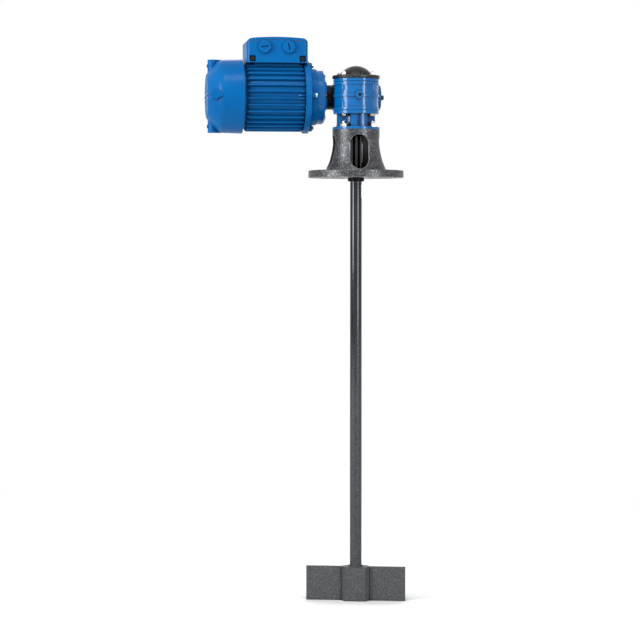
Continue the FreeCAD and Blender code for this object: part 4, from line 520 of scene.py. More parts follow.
@dataclass(frozen=True)
class Plating(Finish):
    """Bare or plated metal with a mottled sheen."""

    tint: Colour
    dark: Colour
    roughness: float

    REACH, CLOSING = 0.006, (0.15, 0.80)
    SPOTS, SPOTTING, SPOT_SWING, FINE = 260.0, (0.35, 0.70), 0.16, 2200.0
    EDGE, EDGE_SHADE = 0.0007, 0.7
    DEPTH, SOFT_EDGE = 0.000015, 0.0003

    def material(self) -> Material:
        """Builds the finish's nodes.

        Returns:
            The material.
        """
        shader = Shader(self.name)
        place = shader.place()
        spots = shader.noise(place, self.SPOTS, 3.0)
        fine = shader.noise(place, self.FINE, 2.0)
        base = shader.mix(spots.ramp(*self.SPOTTING), self.colour, self.tint)
        # Painted shade: hollows turn to the dark colour
        base = shader.mix(self.closed(shader) * self.DIRT, base, self.dark)
        edges = shader.edge_share(self.EDGE)
        return shader.surface({
            "Base Color": shader.mix(edges * self.EDGE_SHADE, base, self.dark),
            "Metallic": 1.0,
            "Roughness": self.roughness + spots.swing(self.SPOT_SWING),
            "Normal": shader.bump(fine, self.DEPTH, self.SOFT_EDGE),
        })


@dataclass(frozen=True)
class Laminate(Finish):
    """A stack of thin sheets along the motor's axis, or wound wire."""

    gap: Colour
    sheets: float
    metallic: float

    LAYERS, LAYERING, LAYER_SWING = 40.0, (0.45, 0.60), 0.2
    ROUGHNESS, DEPTH = 0.45, 0.00005

    def material(self) -> Material:
        """Builds the finish's nodes.

        Returns:
            The material.
        """
        shader = Shader(self.name)
        layers = shader.noise(shader.place((self.sheets, 1.0, 1.0)), self.LAYERS, 1.0)
        return shader.surface({
            "Base Color": shader.mix(layers.ramp(*self.LAYERING), self.gap, self.colour),
            "Metallic": self.metallic,
            "Roughness": self.ROUGHNESS + layers.swing(self.LAYER_SWING),
            "Normal": shader.bump(layers, self.DEPTH),
        })


@dataclass(frozen=True)
class Moulded(Finish):
    """Rubber or moulded plastic with a fine matt grain."""

    worn: Colour
    roughness: float

    GRAIN, GRAIN_SWING, DEPTH = 1300.0, 0.15, 0.00003
    CLOUDS, CLOUDING = 35.0, (0.4, 0.8)

    def material(self) -> Material:
        """Builds the finish's nodes.

        Returns:
            The material.
        """
        shader = Shader(self.name)
        place = shader.place()
        grain = shader.noise(place, self.GRAIN, 2.0)
        cloud = shader.noise(place, self.CLOUDS, 2.0)
        return shader.surface({
            "Base Color": shader.mix(cloud.ramp(*self.CLOUDING), self.colour, self.worn),
            "Roughness": self.roughness + grain.swing(self.GRAIN_SWING),
            "Normal": shader.bump(grain, self.DEPTH),
        })


# Paint colours in order: colour, cloud tone, painted shade in hollows, edge colour that is worn
# paint and a painted highlight
MOTOR_ENAMEL = Paint("motor_enamel", srgb("0166AB"), srgb("01589B"), srgb("011834"), srgb("3B8CCF"),
                     roughness=0.40, coat=0.06, specular=0.08, skin=0.00008, sink=0.62)
# The cowl's painted shade in hollows is paler and weaker
COWL_ENAMEL = replace(MOTOR_ENAMEL, name="cowl_enamel", hollow=srgb("012A55"), sink=0.35)
# Cast iron colours in order: colour, pale grains, dark for pits, clouds and painted shade in
# hollows, edge colour that is worn primer and a painted highlight
DOME_IRON = CastIron("dome_iron", srgb("242527"), srgb("505154"), srgb("050506"), srgb("8C8D90"),
                     roughness=0.46)
# A darker zinc for screws that sit in pockets and recesses: partly their own tone, partly painted
# shade
DARK_ZINC_AND_SHADE = Plating("smoked_zinc", srgb("4A4843"), srgb("35332E"), srgb("121110"), roughness=0.32)

# In plating and coats the dark colour also paints shade in hollows; in turned steel the worn colour
# does
FINISHES = {
    Slot.CAST_IRON: CastIron("cast_iron", srgb("3C3D40"), srgb("7E7F82"), srgb("0A0A0B"),
                             srgb("C4C5C8"), roughness=0.40),
    Slot.GEAR: Paint("gear_enamel", srgb("0368AE"), srgb("025A9C"), srgb("011E3E"), srgb("4A9BDD"),
                     roughness=0.24, coat=0.42, specular=0.10, skin=0.00010),
    Slot.MOTOR: MOTOR_ENAMEL,
    Slot.ZINC: Plating("zinc_plating", srgb("CDCBC4"), srgb("A8A28C"), srgb("38362F"), 0.20),
    Slot.BEARING: Plating("bearing_steel", srgb("B8BABD"), srgb("A4A6AA"), srgb("5A5C5F"), 0.22),
    Slot.SHAFT: TurnedSteel("shaft_steel", srgb("3C3E41"), srgb("2A2C2E"), srgb("5C6064"),
                            roughness=0.08, dull_roughness=0.50, dull_from=-0.25, dull_to=-0.55),
    Slot.PADDLE: GrainCoat("paddle_coat", srgb("3D4042"), srgb("6E7174"), srgb("17181A"), 0.58),
    Slot.BLACK_OXIDE: Plating("black_oxide", srgb("18181A"), srgb("252527"), srgb("080809"), 0.42),
    Slot.GROUND: Plating("ground_steel", srgb("A8AAAD"), srgb("97999C"), srgb("505255"), 0.26),
    Slot.BRONZE: Plating("wheel_bronze", srgb("B0823F"), srgb("9A6E34"), srgb("4C3618"), 0.30),
    Slot.CORE: Laminate("core_sheets", srgb("7C7D80"), srgb("3C3D40"), sheets=50.0, metallic=0.8),
    Slot.COPPER: Laminate("wound_copper", srgb("B06A3A"), srgb("5A2E16"), sheets=30.0, metallic=0.6),
    Slot.RUBBER: Moulded("seal_rubber", srgb("171719"), srgb("232325"), roughness=0.62),
    Slot.PLASTIC: Moulded("black_plastic", srgb("141415"), srgb("202022"), roughness=0.45),
}

# Nodes whose finish differs a little from the rest of their slot
OWN_FINISHES = (
    (DARK_ZINC_AND_SHADE, ("motor_bolts", "box_screws", "cowl_screws")),
    (COWL_ENAMEL, ("fan_cowl",)),
    (DOME_IRON, ("top_cover",)),
)


@dataclass
class Wardrobe:
    """All finishes as materials, and the CAD nodes that wear them."""

    finishes: dict[Slot, Material] = field(default_factory=dict)
    own: dict[str, Material] = field(default_factory=dict)

    def make(self) -> None:
        """Makes each finish's material once."""
        self.finishes = {slot: finish.material() for slot, finish in FINISHES.items()}
        for finish, nodes in OWN_FINISHES:
            self.own |= dict.fromkeys(nodes, finish.material())

    def material(self, name: str, slot: Slot) -> Material:
        """The finish of a node, or of the piece that takes its place."""
        return self.own.get(name.removesuffix("_dressed"), self.finishes[slot])

    def dress_nodes(self) -> None:
        """Gives each CAD node its material."""
        for part in frame["record"]["subparts"]:
            materials = frame["nodes"][part["node"]].data.materials
            material = self.material(part["node"], Slot(part["material_slot"]))
            materials.clear()
            materials.append(material)
            LOG.info("%s wears %s", part["node"], material.name)

    def dress(self, piece: Object, slot: Slot, body: Body, *replaced: str) -> None:
        """Gives a new piece its material and body.

        Args:
            piece: The finished piece.
            slot: The slot that its finish stands for.
            body: The body that it moves with.
            replaced: The CAD nodes that it stands for, if any.
        """
        piece.data.materials.clear()
        piece.data.materials.append(self.material(piece.name, slot))
        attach(piece, body.value)
        if replaced:
            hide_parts(*replaced)
        LOG.info("%s: %d faces", piece.name, len(piece.data.polygons))


# Pieces that Geometry Nodes grow


def as_inputs(sizes: dict[str, float]) -> dict[str, float]:
    """Millimetres by field name as metres by input name: head_height sets Head Height."""
    return {name.replace("_", " ").title(): value * MM for name, value in sizes.items()}


def put_in_scene(name: str, data: ID) -> Object:
    """Puts data into the scene as an object at the origin.

    Args:
        name: The object's name.
        data: A mesh, a lamp or a camera.

    Returns:
        The object.
    """
    thing = bpy.data.objects.new(name, data)
    bpy.context.scene.collection.objects.link(thing)
    return thing


def soften(piece: Object, edge: float) -> None:
    """Adds a modifier that cuts a piece's sharp edges back, by so many metres."""
    bevel = piece.modifiers.new("edges", "BEVEL")
    bevel.width, bevel.segments, bevel.limit_method, bevel.angle_limit = edge, 2, "ANGLE", SHARP


def bake(piece: Object) -> None:
    """Turns what a piece's modifiers make into its plain mesh, and takes them off.

    Args:
        piece: The piece.
    """
    graph = bpy.context.evaluated_depsgraph_get()
    mesh = bpy.data.meshes.new_from_object(piece.evaluated_get(graph))
    piece.modifiers.clear()
    piece.data = mesh
    mesh.name = piece.name


class Growth(Graph):
    """A Geometry Nodes tree whose sizes are named inputs, in metres or radians."""

    def __init__(self, name: str) -> None:
        """Starts a tree with one geometry in and one out.

        Args:
            name: The tree's name.
        """
        super().__init__(bpy.data.node_groups.new(name, "GeometryNodeTree"))
        face = self.tree.interface
        self.points_id = face.new_socket(
            "Places", in_out="INPUT", socket_type="NodeSocketGeometry").identifier
        face.new_socket("Piece", in_out="OUTPUT", socket_type="NodeSocketGeometry")
        self.entry = self.tree.nodes.new("NodeGroupInput")
        self.inputs: dict[str, str] = {}

    def size(self, name: str) -> Socket:
        """Adds a named input.

        Args:
            name: What the input sets.

        Returns:
            The input's value.
        """
        item = self.tree.interface.new_socket(name, in_out="INPUT", socket_type="NodeSocketFloat")
        self.inputs[name] = item.identifier
        return Socket(self, self.output(self.entry, item.identifier))

    @staticmethod
    def output(node: Node, identifier: str) -> NodeSocket:
        """A node's output by its identifier."""
        return next(s for s in node.outputs if s.identifier == identifier)

    def places(self) -> NodeSocket:
        """The geometry that comes in, whose vertices are the places."""
        return self.output(self.entry, self.points_id)

    def position(self) -> tuple[Socket, Socket, Socket]:
        """Reads where each point is.

        Returns:
            Its x, y and z.
        """
        place = self.node("GeometryNodeInputPosition", {}, {}).outputs[0]
        parts = self.node("ShaderNodeSeparateXYZ", {}, {0: place})
        return tuple(Socket(self, out) for out in parts.outputs)

    def combine(self, *parts: "Socket | float") -> NodeSocket:
        """A vector of three numbers."""
        return self.node("ShaderNodeCombineXYZ", {}, dict(enumerate(parts))).outputs[0]

    def polar(self) -> tuple[Socket, Socket, Socket]:
        """Each point's distance from the Z axis, its angle round it and its height."""
        x, y, z = self.position()
        return self.math("SQRT", x * x + y * y), self.math("ARCTAN2", y, x), z

    def around(self, radius: Socket, angle: Socket, height: Socket) -> NodeSocket:
        """A place from a distance, an angle and a height."""
        x, y = radius * self.math("COSINE", angle), radius * self.math("SINE", angle)
        return self.combine(x, y, height)

    def hexagon(self, flats: Socket, angle: Socket) -> Socket:
        """How far a hexagon's side is from its middle, at an angle."""
        fold = self.math("FLOORED_MODULO", angle, math.pi / 3) - math.pi / 6
        return flats * 0.5 / self.math("COSINE", fold)

    def move(self, geometry: NodeSocket, place: NodeSocket) -> NodeSocket:
        """Puts every point of a geometry at a place."""
        values = {"Geometry": geometry, "Position": place}
        return self.node("GeometryNodeSetPosition", {}, values).outputs[0]

    def uneven(self, reach: float, seed: int) -> Socket:
        """A random number for each point.

        Args:
            reach: The numbers lie between -reach and reach.
            seed: What fixes them.

        Returns:
            The number.
        """
        values = {2: -reach, 3: reach, "Seed": seed}
        node = self.node("FunctionNodeRandomValue", {"data_type": "FLOAT"}, values)
        return Socket(self, node.outputs[1])

    def copies(self, instance: NodeSocket, values: dict[str, object]) -> NodeSocket:
        """A copy of a geometry on every place.

        Args:
            instance: The geometry.
            values: How the copies are turned or scaled, by socket name.

        Returns:
            The copies, as instances.
        """
        spots = self.node("GeometryNodeMeshToPoints", {}, {0: self.places()}).outputs[0]
        values = {"Points": spots, "Instance": instance} | values
        return self.node("GeometryNodeInstanceOnPoints", {}, values).outputs[0]

    def real(self, instances: NodeSocket) -> NodeSocket:
        """The copies as one plain geometry."""
        return self.node("GeometryNodeRealizeInstances", {}, {0: instances}).outputs[0]

    def disc(self, sides: int, rings: int, levels: int) -> NodeSocket:
        """A capped drum of radius 1 and depth 1 round the origin.

        Args:
            sides: Vertices round its edge.
            rings: Rings from the middle of each cap to its edge.
            levels: Steps along its wall.

        Returns:
            The geometry.
        """
        values = {"Vertices": sides, "Side Segments": levels, "Fill Segments": rings,
                  "Radius": 1.0, "Depth": 1.0}
        return self.node("GeometryNodeMeshCylinder", {}, values).outputs["Mesh"]

    def drum(self, radius: Socket, low: "Socket | float", high: "Socket | float",
             sides: int) -> NodeSocket:
        """A plain cylinder round the Z axis.

        Args:
            radius: Its radius.
            low: Where it starts.
            high: Where it ends.
            sides: Steps round it.

        Returns:
            The geometry.
        """
        x, y, z = self.position()
        place = self.combine(x * radius, y * radius, (z + 0.5) * (high - low) + low)
        return self.move(self.disc(sides, 1, 1), place)

    def join(self, *parts: NodeSocket) -> NodeSocket:
        """Makes several geometries one.

        Args:
            parts: The geometries.

        Returns:
            The joined geometry.
        """
        node = self.tree.nodes.new("GeometryNodeJoinGeometry")
        for part in reversed(parts):
            self.tree.links.new(part, node.inputs[0])
        return node.outputs[0]

    def end(self, geometry: NodeSocket, material: Material) -> None:
        """Makes the instances real, sets the material and closes the tree.

        Args:
            geometry: What the tree grows.
            material: What it wears.
        """
        values = {"Geometry": self.real(geometry), "Material": material}
        worn = self.node("GeometryNodeSetMaterial", {}, values)
        self.node("NodeGroupOutput", {}, {0: worn.outputs[0]})

    def grow(self, name: str, places: Sequence[Point], sizes: dict[str, float],
             edge: float = 0.0) -> Object:
        """Grows a piece on its places and turns it into a plain mesh.

        Args:
            name: The piece's name.
            places: Points in metres.
            sizes: A value for each named input.
            edge: How far sharp edges are cut back, in metres.

        Returns:
            The piece, with no modifier left on it.
        """
        seed = bpy.data.meshes.new(name)
        seed.from_pydata(places, [], [])
        piece = put_in_scene(name, seed)
        growth = piece.modifiers.new("growth", "NODES")
        growth.node_group = self.tree
        for key, value in sizes.items():
            growth[self.inputs[key]] = value
        if edge > 0:
            soften(piece, edge)
        bake(piece)
        return piece


class ScrewGrowth(Growth):
    """Screws that all point along one named axis."""

    def set_screws(self, screw: NodeSocket, turn: Socket, material: Material) -> None:
        """Sets a screw on each place and closes the tree.

        Args:
            screw: One screw along Z.
            turn: How each screw is turned round its axis.
            material: What the screws are plated with.
        """
        axis = self.combine(*[self.size(name) for name in AXIS_INPUTS])
        aligned = self.node("FunctionNodeAlignRotationToVector", {"axis": "Z"}, {"Vector": axis})
        own = self.node("FunctionNodeAxisAngleToRotation", {},
                        {"Axis": (0.0, 0.0, 1.0), "Angle": turn})
        both = self.node("FunctionNodeRotateRotation", {"rotation_space": "LOCAL"},
                         {0: aligned.outputs[0], 1: own.outputs[0]})
        self.end(self.copies(screw, {"Rotation": both.outputs[0]}), material)


class HexGrowth(ScrewGrowth):
    """Hexagon heads with a chamfered crown, a washer and a threaded stud end."""

    SIDES, THREAD_SIDES, THREAD_LEVELS = 48, 24, 40
    CROWN, CHAMFER = 0.475, math.tan(math.radians(30))
    INNER, SPLIT = 0.5, 0.75        # the disc's inner ring, and what parts it from the outer one
    THREAD_DEPTH = 0.22
    LOOSE, SEED = 0.12, 7

    def __init__(self, material: Material) -> None:
        """Builds the tree.

        Args:
            material: What the fasteners are plated with.
        """
        super().__init__("hex_fasteners")
        lift = self.size("Washer Height")
        washer = self.drum(self.size("Washer Radius"), 0.0, lift, self.SIDES)
        parts = self.join(self.head(lift), washer, self.stud())
        self.set_screws(parts, self.size("Turn") + self.uneven(self.LOOSE, self.SEED), material)

    def head(self, lift: Socket) -> NodeSocket:
        """Shapes the head: six flats whose corners a cone cuts back.

        Args:
            lift: How high it stands, on its washer.

        Returns:
            The geometry.
        """
        flats, height = self.size("Across Flats"), self.size("Head Height")
        length, angle, z = self.polar()
        corner = self.hexagon(flats, angle)
        crown = flats * self.CROWN
        outer = self.math("GREATER_THAN", length, self.SPLIT)
        radius = outer * corner + (1 - outer) * length / self.INNER * crown
        drop = outer * (corner - crown) * self.CHAMFER
        level = lift + self.math("GREATER_THAN", z, 0.0) * (height - drop)
        return self.move(self.disc(self.SIDES, 2, 1), self.around(radius, angle, level))

    def stud(self) -> NodeSocket:
        """Shapes the shank, with a thread cut into its wall.

        Returns:
            The geometry.
        """
        radius, pitch = self.size("Shank Radius"), self.size("Thread Pitch")
        start, stop = self.size("Shank Start"), self.size("Shank End")
        x, y, z = self.position()
        along = start + (z + 0.5) * (stop - start)
        wave = self.math("SINE", along * FULL_TURN / pitch + self.math("ARCTAN2", y, x))
        inner = radius - pitch * self.THREAD_DEPTH * (1 - wave)
        place = self.combine(x * inner, y * inner, along)
        return self.move(self.disc(self.THREAD_SIDES, 1, self.THREAD_LEVELS), place)


class SocketGrowth(ScrewGrowth):
    """Round cap heads with a hexagon socket sunk in them."""

    SIDES, RINGS = 36, 5
    RIM, CHAMFER = 0.88, 0.12

    def __init__(self, material: Material) -> None:
        """Builds the tree.

        Args:
            material: What the screws are plated with.
        """
        super().__init__("socket_heads")
        shank = self.drum(self.size("Shank Radius"), self.size("Shank Start"), 0.0, self.SIDES)
        self.set_screws(self.join(self.head(), shank), self.size("Turn"), material)

    def head(self) -> NodeSocket:
        """Shapes the head: a drum whose top rings make a chamfer, a rim and a socket.

        Returns:
            The geometry.
        """
        radius, height = self.size("Head Radius"), self.size("Head Height")
        flats, depth = self.size("Socket Across Flats"), self.size("Socket Depth")
        length, angle, z = self.polar()
        ring = self.math("ROUND", length * float(self.RINGS))
        top = self.math("GREATER_THAN", z, 0.0)
        # The rings from the middle outwards
        floor, floor_edge, socket_edge, rim, outer = (
            self.math("COMPARE", ring, float(i + 1), 0.5) for i in range(self.RINGS))
        reach = ((floor * 0.5 + floor_edge + socket_edge) * self.hexagon(flats, angle)
                 + (rim * self.RIM + outer) * radius)
        spread = top * reach + (1 - top) * (ring / self.RINGS * radius)
        sunk = self.math("LESS_THAN", ring, 2.5)    # only the two rings of the floor
        level = top * (height - sunk * depth - outer * radius * self.CHAMFER)
        return self.move(self.disc(self.SIDES, self.RINGS, 1), self.around(spread, angle, level))


@dataclass(frozen=True)
class ScrewGroup:
    """A group of screws or nuts that stands for one CAD node.

    Sizes are in millimetres and the turn round the screws' own axis is in degrees.
    """

    node: str
    places: tuple[Point, ...]
    axis: Point
    turn: float

    EDGE = 0.0

    def build(self, growth: ScrewGrowth) -> Object:
        """Grows the group.

        Args:
            growth: The tree of its kind of screw.

        Returns:
            The piece.
        """
        sizes = asdict(self)
        node, places, axis, turn = (sizes.pop(key) for key in ("node", "places", "axis", "turn"))
        inputs = as_inputs(sizes) | {"Turn": math.radians(turn)} | dict(zip(AXIS_INPUTS, axis))
        spots = [tuple(v * MM for v in place) for place in places]
        return growth.grow(f"{node}_dressed", spots, inputs, self.EDGE * MM)


@dataclass(frozen=True)
class RoundScrews(ScrewGroup):
    """Round screws with a hexagon socket."""

    head_radius: float
    head_height: float
    socket_across_flats: float
    socket_depth: float
    shank_radius: float
    shank_start: float


@dataclass(frozen=True)
class Fasteners(ScrewGroup):
    """Hexagon screws or nuts with a washer."""

    across_flats: float
    head_height: float
    washer_radius: float
    washer_height: float
    shank_radius: float
    shank_start: float
    shank_end: float
    thread_pitch: float

    EDGE = 0.22


def square(half: float, height: float) -> tuple[Point, ...]:
    """Four places at the corners of a square round the shaft's axis, in millimetres."""
    return tuple((x * half, y * half, height) for x, y in ((1, 1), (-1, 1), (-1, -1), (1, -1)))


def cross(along: float, radius: float) -> tuple[Point, ...]:
    """Four places round the motor's axis: front, top, back and bottom.

    Args:
        along: The places' X, in millimetres.
        radius: Their distance from the axis, in millimetres.

    Returns:
        The places.
    """
    y, z = MOTOR_AXIS
    return ((along, y - radius, z), (along, y, z + radius),
            (along, y + radius, z), (along, y, z - radius))


def box_corners(height: float) -> tuple[Point, ...]:
    """Four places over the corners of the terminal box, in millimetres."""
    return tuple((x, y, height) for x in (-111.1, -223.1) for y in (7.0, 93.0))


UP, DOWN, DRIVE_WARD, FAN_WARD, FRONT = (0, 0, 1), (0, 0, -1), (1, 0, 0), (-1, 0, 0), (0, -1, 0)

HEX_GROUPS = (
    Fasteners("top_cover_bolts", square(30.76, 215.7), UP, turn=15,
              across_flats=10, head_height=5.2, washer_radius=5.9, washer_height=1.1,
              shank_radius=3.0, shank_start=-14, shank_end=8, thread_pitch=1.0),
    Fasteners("lantern_studs", square(31.11, 107.0), UP, turn=15,
              across_flats=13, head_height=6.5, washer_radius=6.4, washer_height=0.0,
              shank_radius=4.0, shank_start=-20, shank_end=11.5, thread_pitch=1.25),
    Fasteners("housing_screws", square(29.7, 134.5), DOWN, turn=15,
              across_flats=10, head_height=4.2, washer_radius=5.7, washer_height=0.8,
              shank_radius=3.0, shank_start=-18.5, shank_end=4, thread_pitch=1.0),
    Fasteners("motor_bolts", cross(-67.0, 50.0), DRIVE_WARD, turn=30,
              across_flats=10, head_height=3.6, washer_radius=5.7, washer_height=0.9,
              shank_radius=3.0, shank_start=-21, shank_end=3.4, thread_pitch=1.0),
    Fasteners("endshield_screws", cross(-88.8, 66.0), DRIVE_WARD, turn=30,
              across_flats=8, head_height=3.3, washer_radius=4.6, washer_height=0.7,
              shank_radius=2.5, shank_start=-34, shank_end=3.1, thread_pitch=0.8),
)
ROUND_GROUPS = (
    RoundScrews("box_screws", ((-114.1, 6.5, 250.5), (-220.1, 6.5, 250.5)), FRONT, turn=12,
                head_radius=4.5, head_height=6.0, socket_across_flats=5.0, socket_depth=3.2,
                shank_radius=2.0, shank_start=-0.2),
    RoundScrews("cowl_screws", cross(-309.5, 64.0), FAN_WARD, turn=0,
                head_radius=3.75, head_height=3.2, socket_across_flats=3.0, socket_depth=1.9,
                shank_radius=2.0, shank_start=-69.5),
    RoundScrews("lid_screws", box_corners(289.8), UP, turn=20,
                head_radius=4.48, head_height=2.2, socket_across_flats=3.6, socket_depth=1.4,
                shank_radius=2.5, shank_start=-14),
)


def set_hardware(wardrobe: Wardrobe) -> None:
    """Grows each group of screws and puts it in its node's place.

    Args:
        wardrobe: The finishes.
    """
    zinc = wardrobe.finishes[Slot.ZINC]
    for growth, groups in ((HexGrowth(zinc), HEX_GROUPS), (SocketGrowth(zinc), ROUND_GROUPS)):
        for group in groups:
            wardrobe.dress(group.build(growth), Slot.ZINC, Body.DRIVE, group.node)


@dataclass(frozen=True)
class Fin:
    """The sizes of a fin or of a short fat lug, in millimetres."""

    length: float
    height: float
    root_half: float
    crest_half: float
    drive_end_run: float
    fan_end_run: float
    sunk: float = 1.2


class FinGrowth(Growth):
    """Cast cooling fins round the motor's axis: drafted sides, a round crest, round ends."""

    SIDES, LEVELS = 28, 40
    FLANK, CREST = 0.45, 0.65

    def __init__(self, material: Material) -> None:
        """Builds the tree.

        Args:
            material: The motor's enamel.
        """
        super().__init__("cooling_fins")
        axis_y, axis_z, limit = self.size("Axis Y"), self.size("Axis Z"), self.size("Box Underside")
        _, y, z = self.position()
        turned = self.node("FunctionNodeAlignRotationToVector", {"axis": "Z", "pivot_axis": "X"},
                           {"Vector": self.combine(0.0, y - axis_y, z - axis_z)})
        fins = self.real(self.copies(self.fin(), {"Rotation": turned.outputs[0]}))
        x, y, z = self.position()
        self.end(self.move(fins, self.combine(x, y, self.math("MINIMUM", z, limit))), material)

    def fin(self) -> NodeSocket:
        """Shapes one fin along X, standing on Z = 0.

        Returns:
            The geometry.
        """
        length, height, sunk = self.size("Length"), self.size("Height"), self.size("Sunk")
        root, crest = self.size("Root Half"), self.size("Crest Half")
        middle, angle, z = self.polar()
        across, up = self.math("COSINE", angle), self.math("SINE", angle)
        along = z * length
        rise = (self.round_end(length * 0.5 - along, self.size("Drive End Run"))
                * self.round_end(length * 0.5 + along, self.size("Fan End Run")))
        side = self.math("SIGN", across) * self.power(across, self.FLANK)
        lift = self.power(up, self.CREST)
        above = self.math("GREATER_THAN", up, 0.0)
        half = crest + (root - crest) * (1 - lift * above)
        level = above * lift * height * rise - (1 - above) * lift * sunk
        place = self.combine(along, side * half * middle, level * middle)
        return self.move(self.disc(self.SIDES, 1, self.LEVELS), place)

    def power(self, value: Socket, exponent: float) -> Socket:
        """A power of a number without its sign."""
        return self.math("POWER", self.math("ABSOLUTE", value), exponent)

    def round_end(self, way: Socket, run: Socket) -> Socket:
        """A quarter circle's rise from 0 to 1, over a run that starts at an end."""
        rest = 1 - self.math("MINIMUM", way / run, 1.0)
        return self.math("SQRT", self.math("MAXIMUM", 1 - rest * rest, 0.0))


# Pieces that are turned, cut and joined


def circle(count: int, start: float = 0.0) -> list[tuple[float, float]]:
    """Cosine and sine of even steps round a circle, the first of them so many steps on."""
    angles = [FULL_TURN * (i + start) / count for i in range(count)]
    return [(math.cos(angle), math.sin(angle)) for angle in angles]


def from_bmesh(name: str, body: bmesh.types.BMesh) -> Object:
    """Turns a bmesh into an object at the origin.

    Args:
        name: The object's name.
        body: The bmesh, which is used up.

    Returns:
        The object.
    """
    mesh = bpy.data.meshes.new(name)
    body.to_mesh(mesh)
    body.free()
    return put_in_scene(name, mesh)


def lathe(name: str, profile: Sequence[tuple[float, float]], axis: tuple[float, float],
          sides: int) -> Object:
    """A closed form turned round a line along X.

    Args:
        name: The piece's name.
        profile: Corners of the closed section, as X and radius in millimetres.
        axis: The line's Y and Z, in millimetres.
        sides: How many steps go round.

    Returns:
        The piece.
    """
    body = bmesh.new()
    rings = []
    for cos, sin in circle(sides):
        rings.append([body.verts.new((x * MM, (axis[0] + r * cos) * MM, (axis[1] + r * sin) * MM))
                      for x, r in profile])
    for ring, after in zip(rings, rings[1:] + rings[:1]):
        for i, (_, radius) in enumerate(profile):
            j = (i + 1) % len(profile)
            if radius or profile[j][1]:
                body.faces.new((ring[i], ring[j], after[j], after[i]))
    bmesh.ops.remove_doubles(body, verts=body.verts, dist=MERGE)
    bmesh.ops.recalc_face_normals(body, faces=body.faces)
    return from_bmesh(name, body)


def block(name: str, low: Point, high: Point, edge: float) -> Object:
    """A rectangular casting with softened edges.

    Args:
        name: The piece's name.
        low: Its lowest corner, in millimetres.
        high: Its highest corner, in millimetres.
        edge: How far its edges are cut back, in millimetres.

    Returns:
        The piece.
    """
    body = bmesh.new()
    bmesh.ops.create_cube(body, size=1.0)
    for vert in body.verts:
        vert.co = Vector([(a + (b - a) * (v + 0.5)) * MM for a, b, v in zip(low, high, vert.co)])
    bmesh.ops.bevel(body, geom=body.edges[:], offset=edge * MM, segments=3, profile=0.5,
                    affect="EDGES")
    return from_bmesh(name, body)


def weld_together(name: str, pieces: Sequence[Object]) -> Object:
    """Makes several pieces one object.

    Args:
        name: The joined piece's name.
        pieces: Pieces at the origin, which are used up.

    Returns:
        The joined piece.
    """
    body = bmesh.new()
    for piece in pieces:
        body.from_mesh(piece.data)
    joined = from_bmesh(name, body)
    for piece in pieces:
        bpy.data.objects.remove(piece)
    return joined


@dataclass
class EndCap:
    """A black rubber cap on the stub of the worm's end cover. Sizes in millimetres."""

    start: float = 60.9
    end: float = 67.2
    radius: float = 5.1
    lip: float = 5.9
    lip_end: float = 62.3
    rounding: float = 1.3
    crown_steps: int = 4
    sides: int = 48

    def build(self, wardrobe: Wardrobe) -> None:
        """Turns the cap and dresses it.

        Args:
            wardrobe: The finishes.
        """
        crown = []
        for i in range(self.crown_steps + 1):
            angle = QUARTER_TURN * (1 - i / self.crown_steps)
            crown.append((self.end - self.rounding * (1 - math.cos(angle)),
                          self.radius - self.rounding * (1 - math.sin(angle))))
        profile = [(self.start, 0.0), (self.start, self.lip), (self.lip_end, self.lip),
                   (self.lip_end, self.radius), *crown, (self.end, 0.0)]
        cap = lathe("worm_end_cap", profile, MOTOR_AXIS, self.sides)
        wardrobe.dress(cap, Slot.RUBBER, Body.DRIVE)


@dataclass
class EntryPlugs:
    """The two blanking plugs of the cable entries. Sizes in millimetres, turns in degrees."""

    places: tuple[float, ...] = (-194.6, -143.1)
    turns: tuple[float, ...] = (8.0, 102.0)
    height: float = 275.0
    wall: float = -2.0
    proud: float = 5.0
    radius: float = 14.2
    thread: float = 10.0
    depth: float = 3.5
    flange: float = 1.6
    step: float = 1.5
    slot_length: float = 15.0
    slot_width: float = 2.8
    slot_depth: float = 2.6
    slot_edge: float = 0.2
    edge: float = 0.5
    sides: int = 64

    def build(self, wardrobe: Wardrobe) -> None:
        """Builds both plugs as one piece.

        Args:
            wardrobe: The finishes.
        """
        plugs = [self.plug(x, turn) for x, turn in zip(self.places, self.turns)]
        piece = weld_together("cable_entry_plugs_dressed", plugs)
        wardrobe.dress(piece, Slot.MOTOR, Body.DRIVE, "cable_entry_plugs")

    def plug(self, along: float, turn: float) -> Object:
        """One plug: a stepped round head on its thread, with a short slot.

        Args:
            along: The plug's X.
            turn: How far its slot is turned from level, in degrees.

        Returns:
            The plug.
        """
        profile = [(-self.depth, 0.0), (-self.depth, self.thread), (0.0, self.thread),
                   (0.0, self.radius), (self.flange, self.radius),
                   (self.proud, self.radius - self.step), (self.proud, 0.0)]
        head = lathe("plug", profile, (0.0, 0.0), self.sides)
        half, wide = self.slot_length / 2, self.slot_width / 2
        slot = block("plug_slot", (self.proud - self.slot_depth, -half, -wide),
                     (self.proud * 2, half, wide), self.slot_edge)
        slot.data.transform(Matrix.Rotation(math.radians(turn), 4, "X"))
        cut = head.modifiers.new("slot", "BOOLEAN")
        cut.object, cut.operation, cut.solver = slot, "DIFFERENCE", "EXACT"
        soften(head, self.edge * MM)
        bake(head)
        bpy.data.objects.remove(slot)
        place = Matrix.Translation((along * MM, self.wall * MM, self.height * MM))
        head.data.transform(place @ Matrix.Rotation(-QUARTER_TURN, 4, "Z"))
        return head


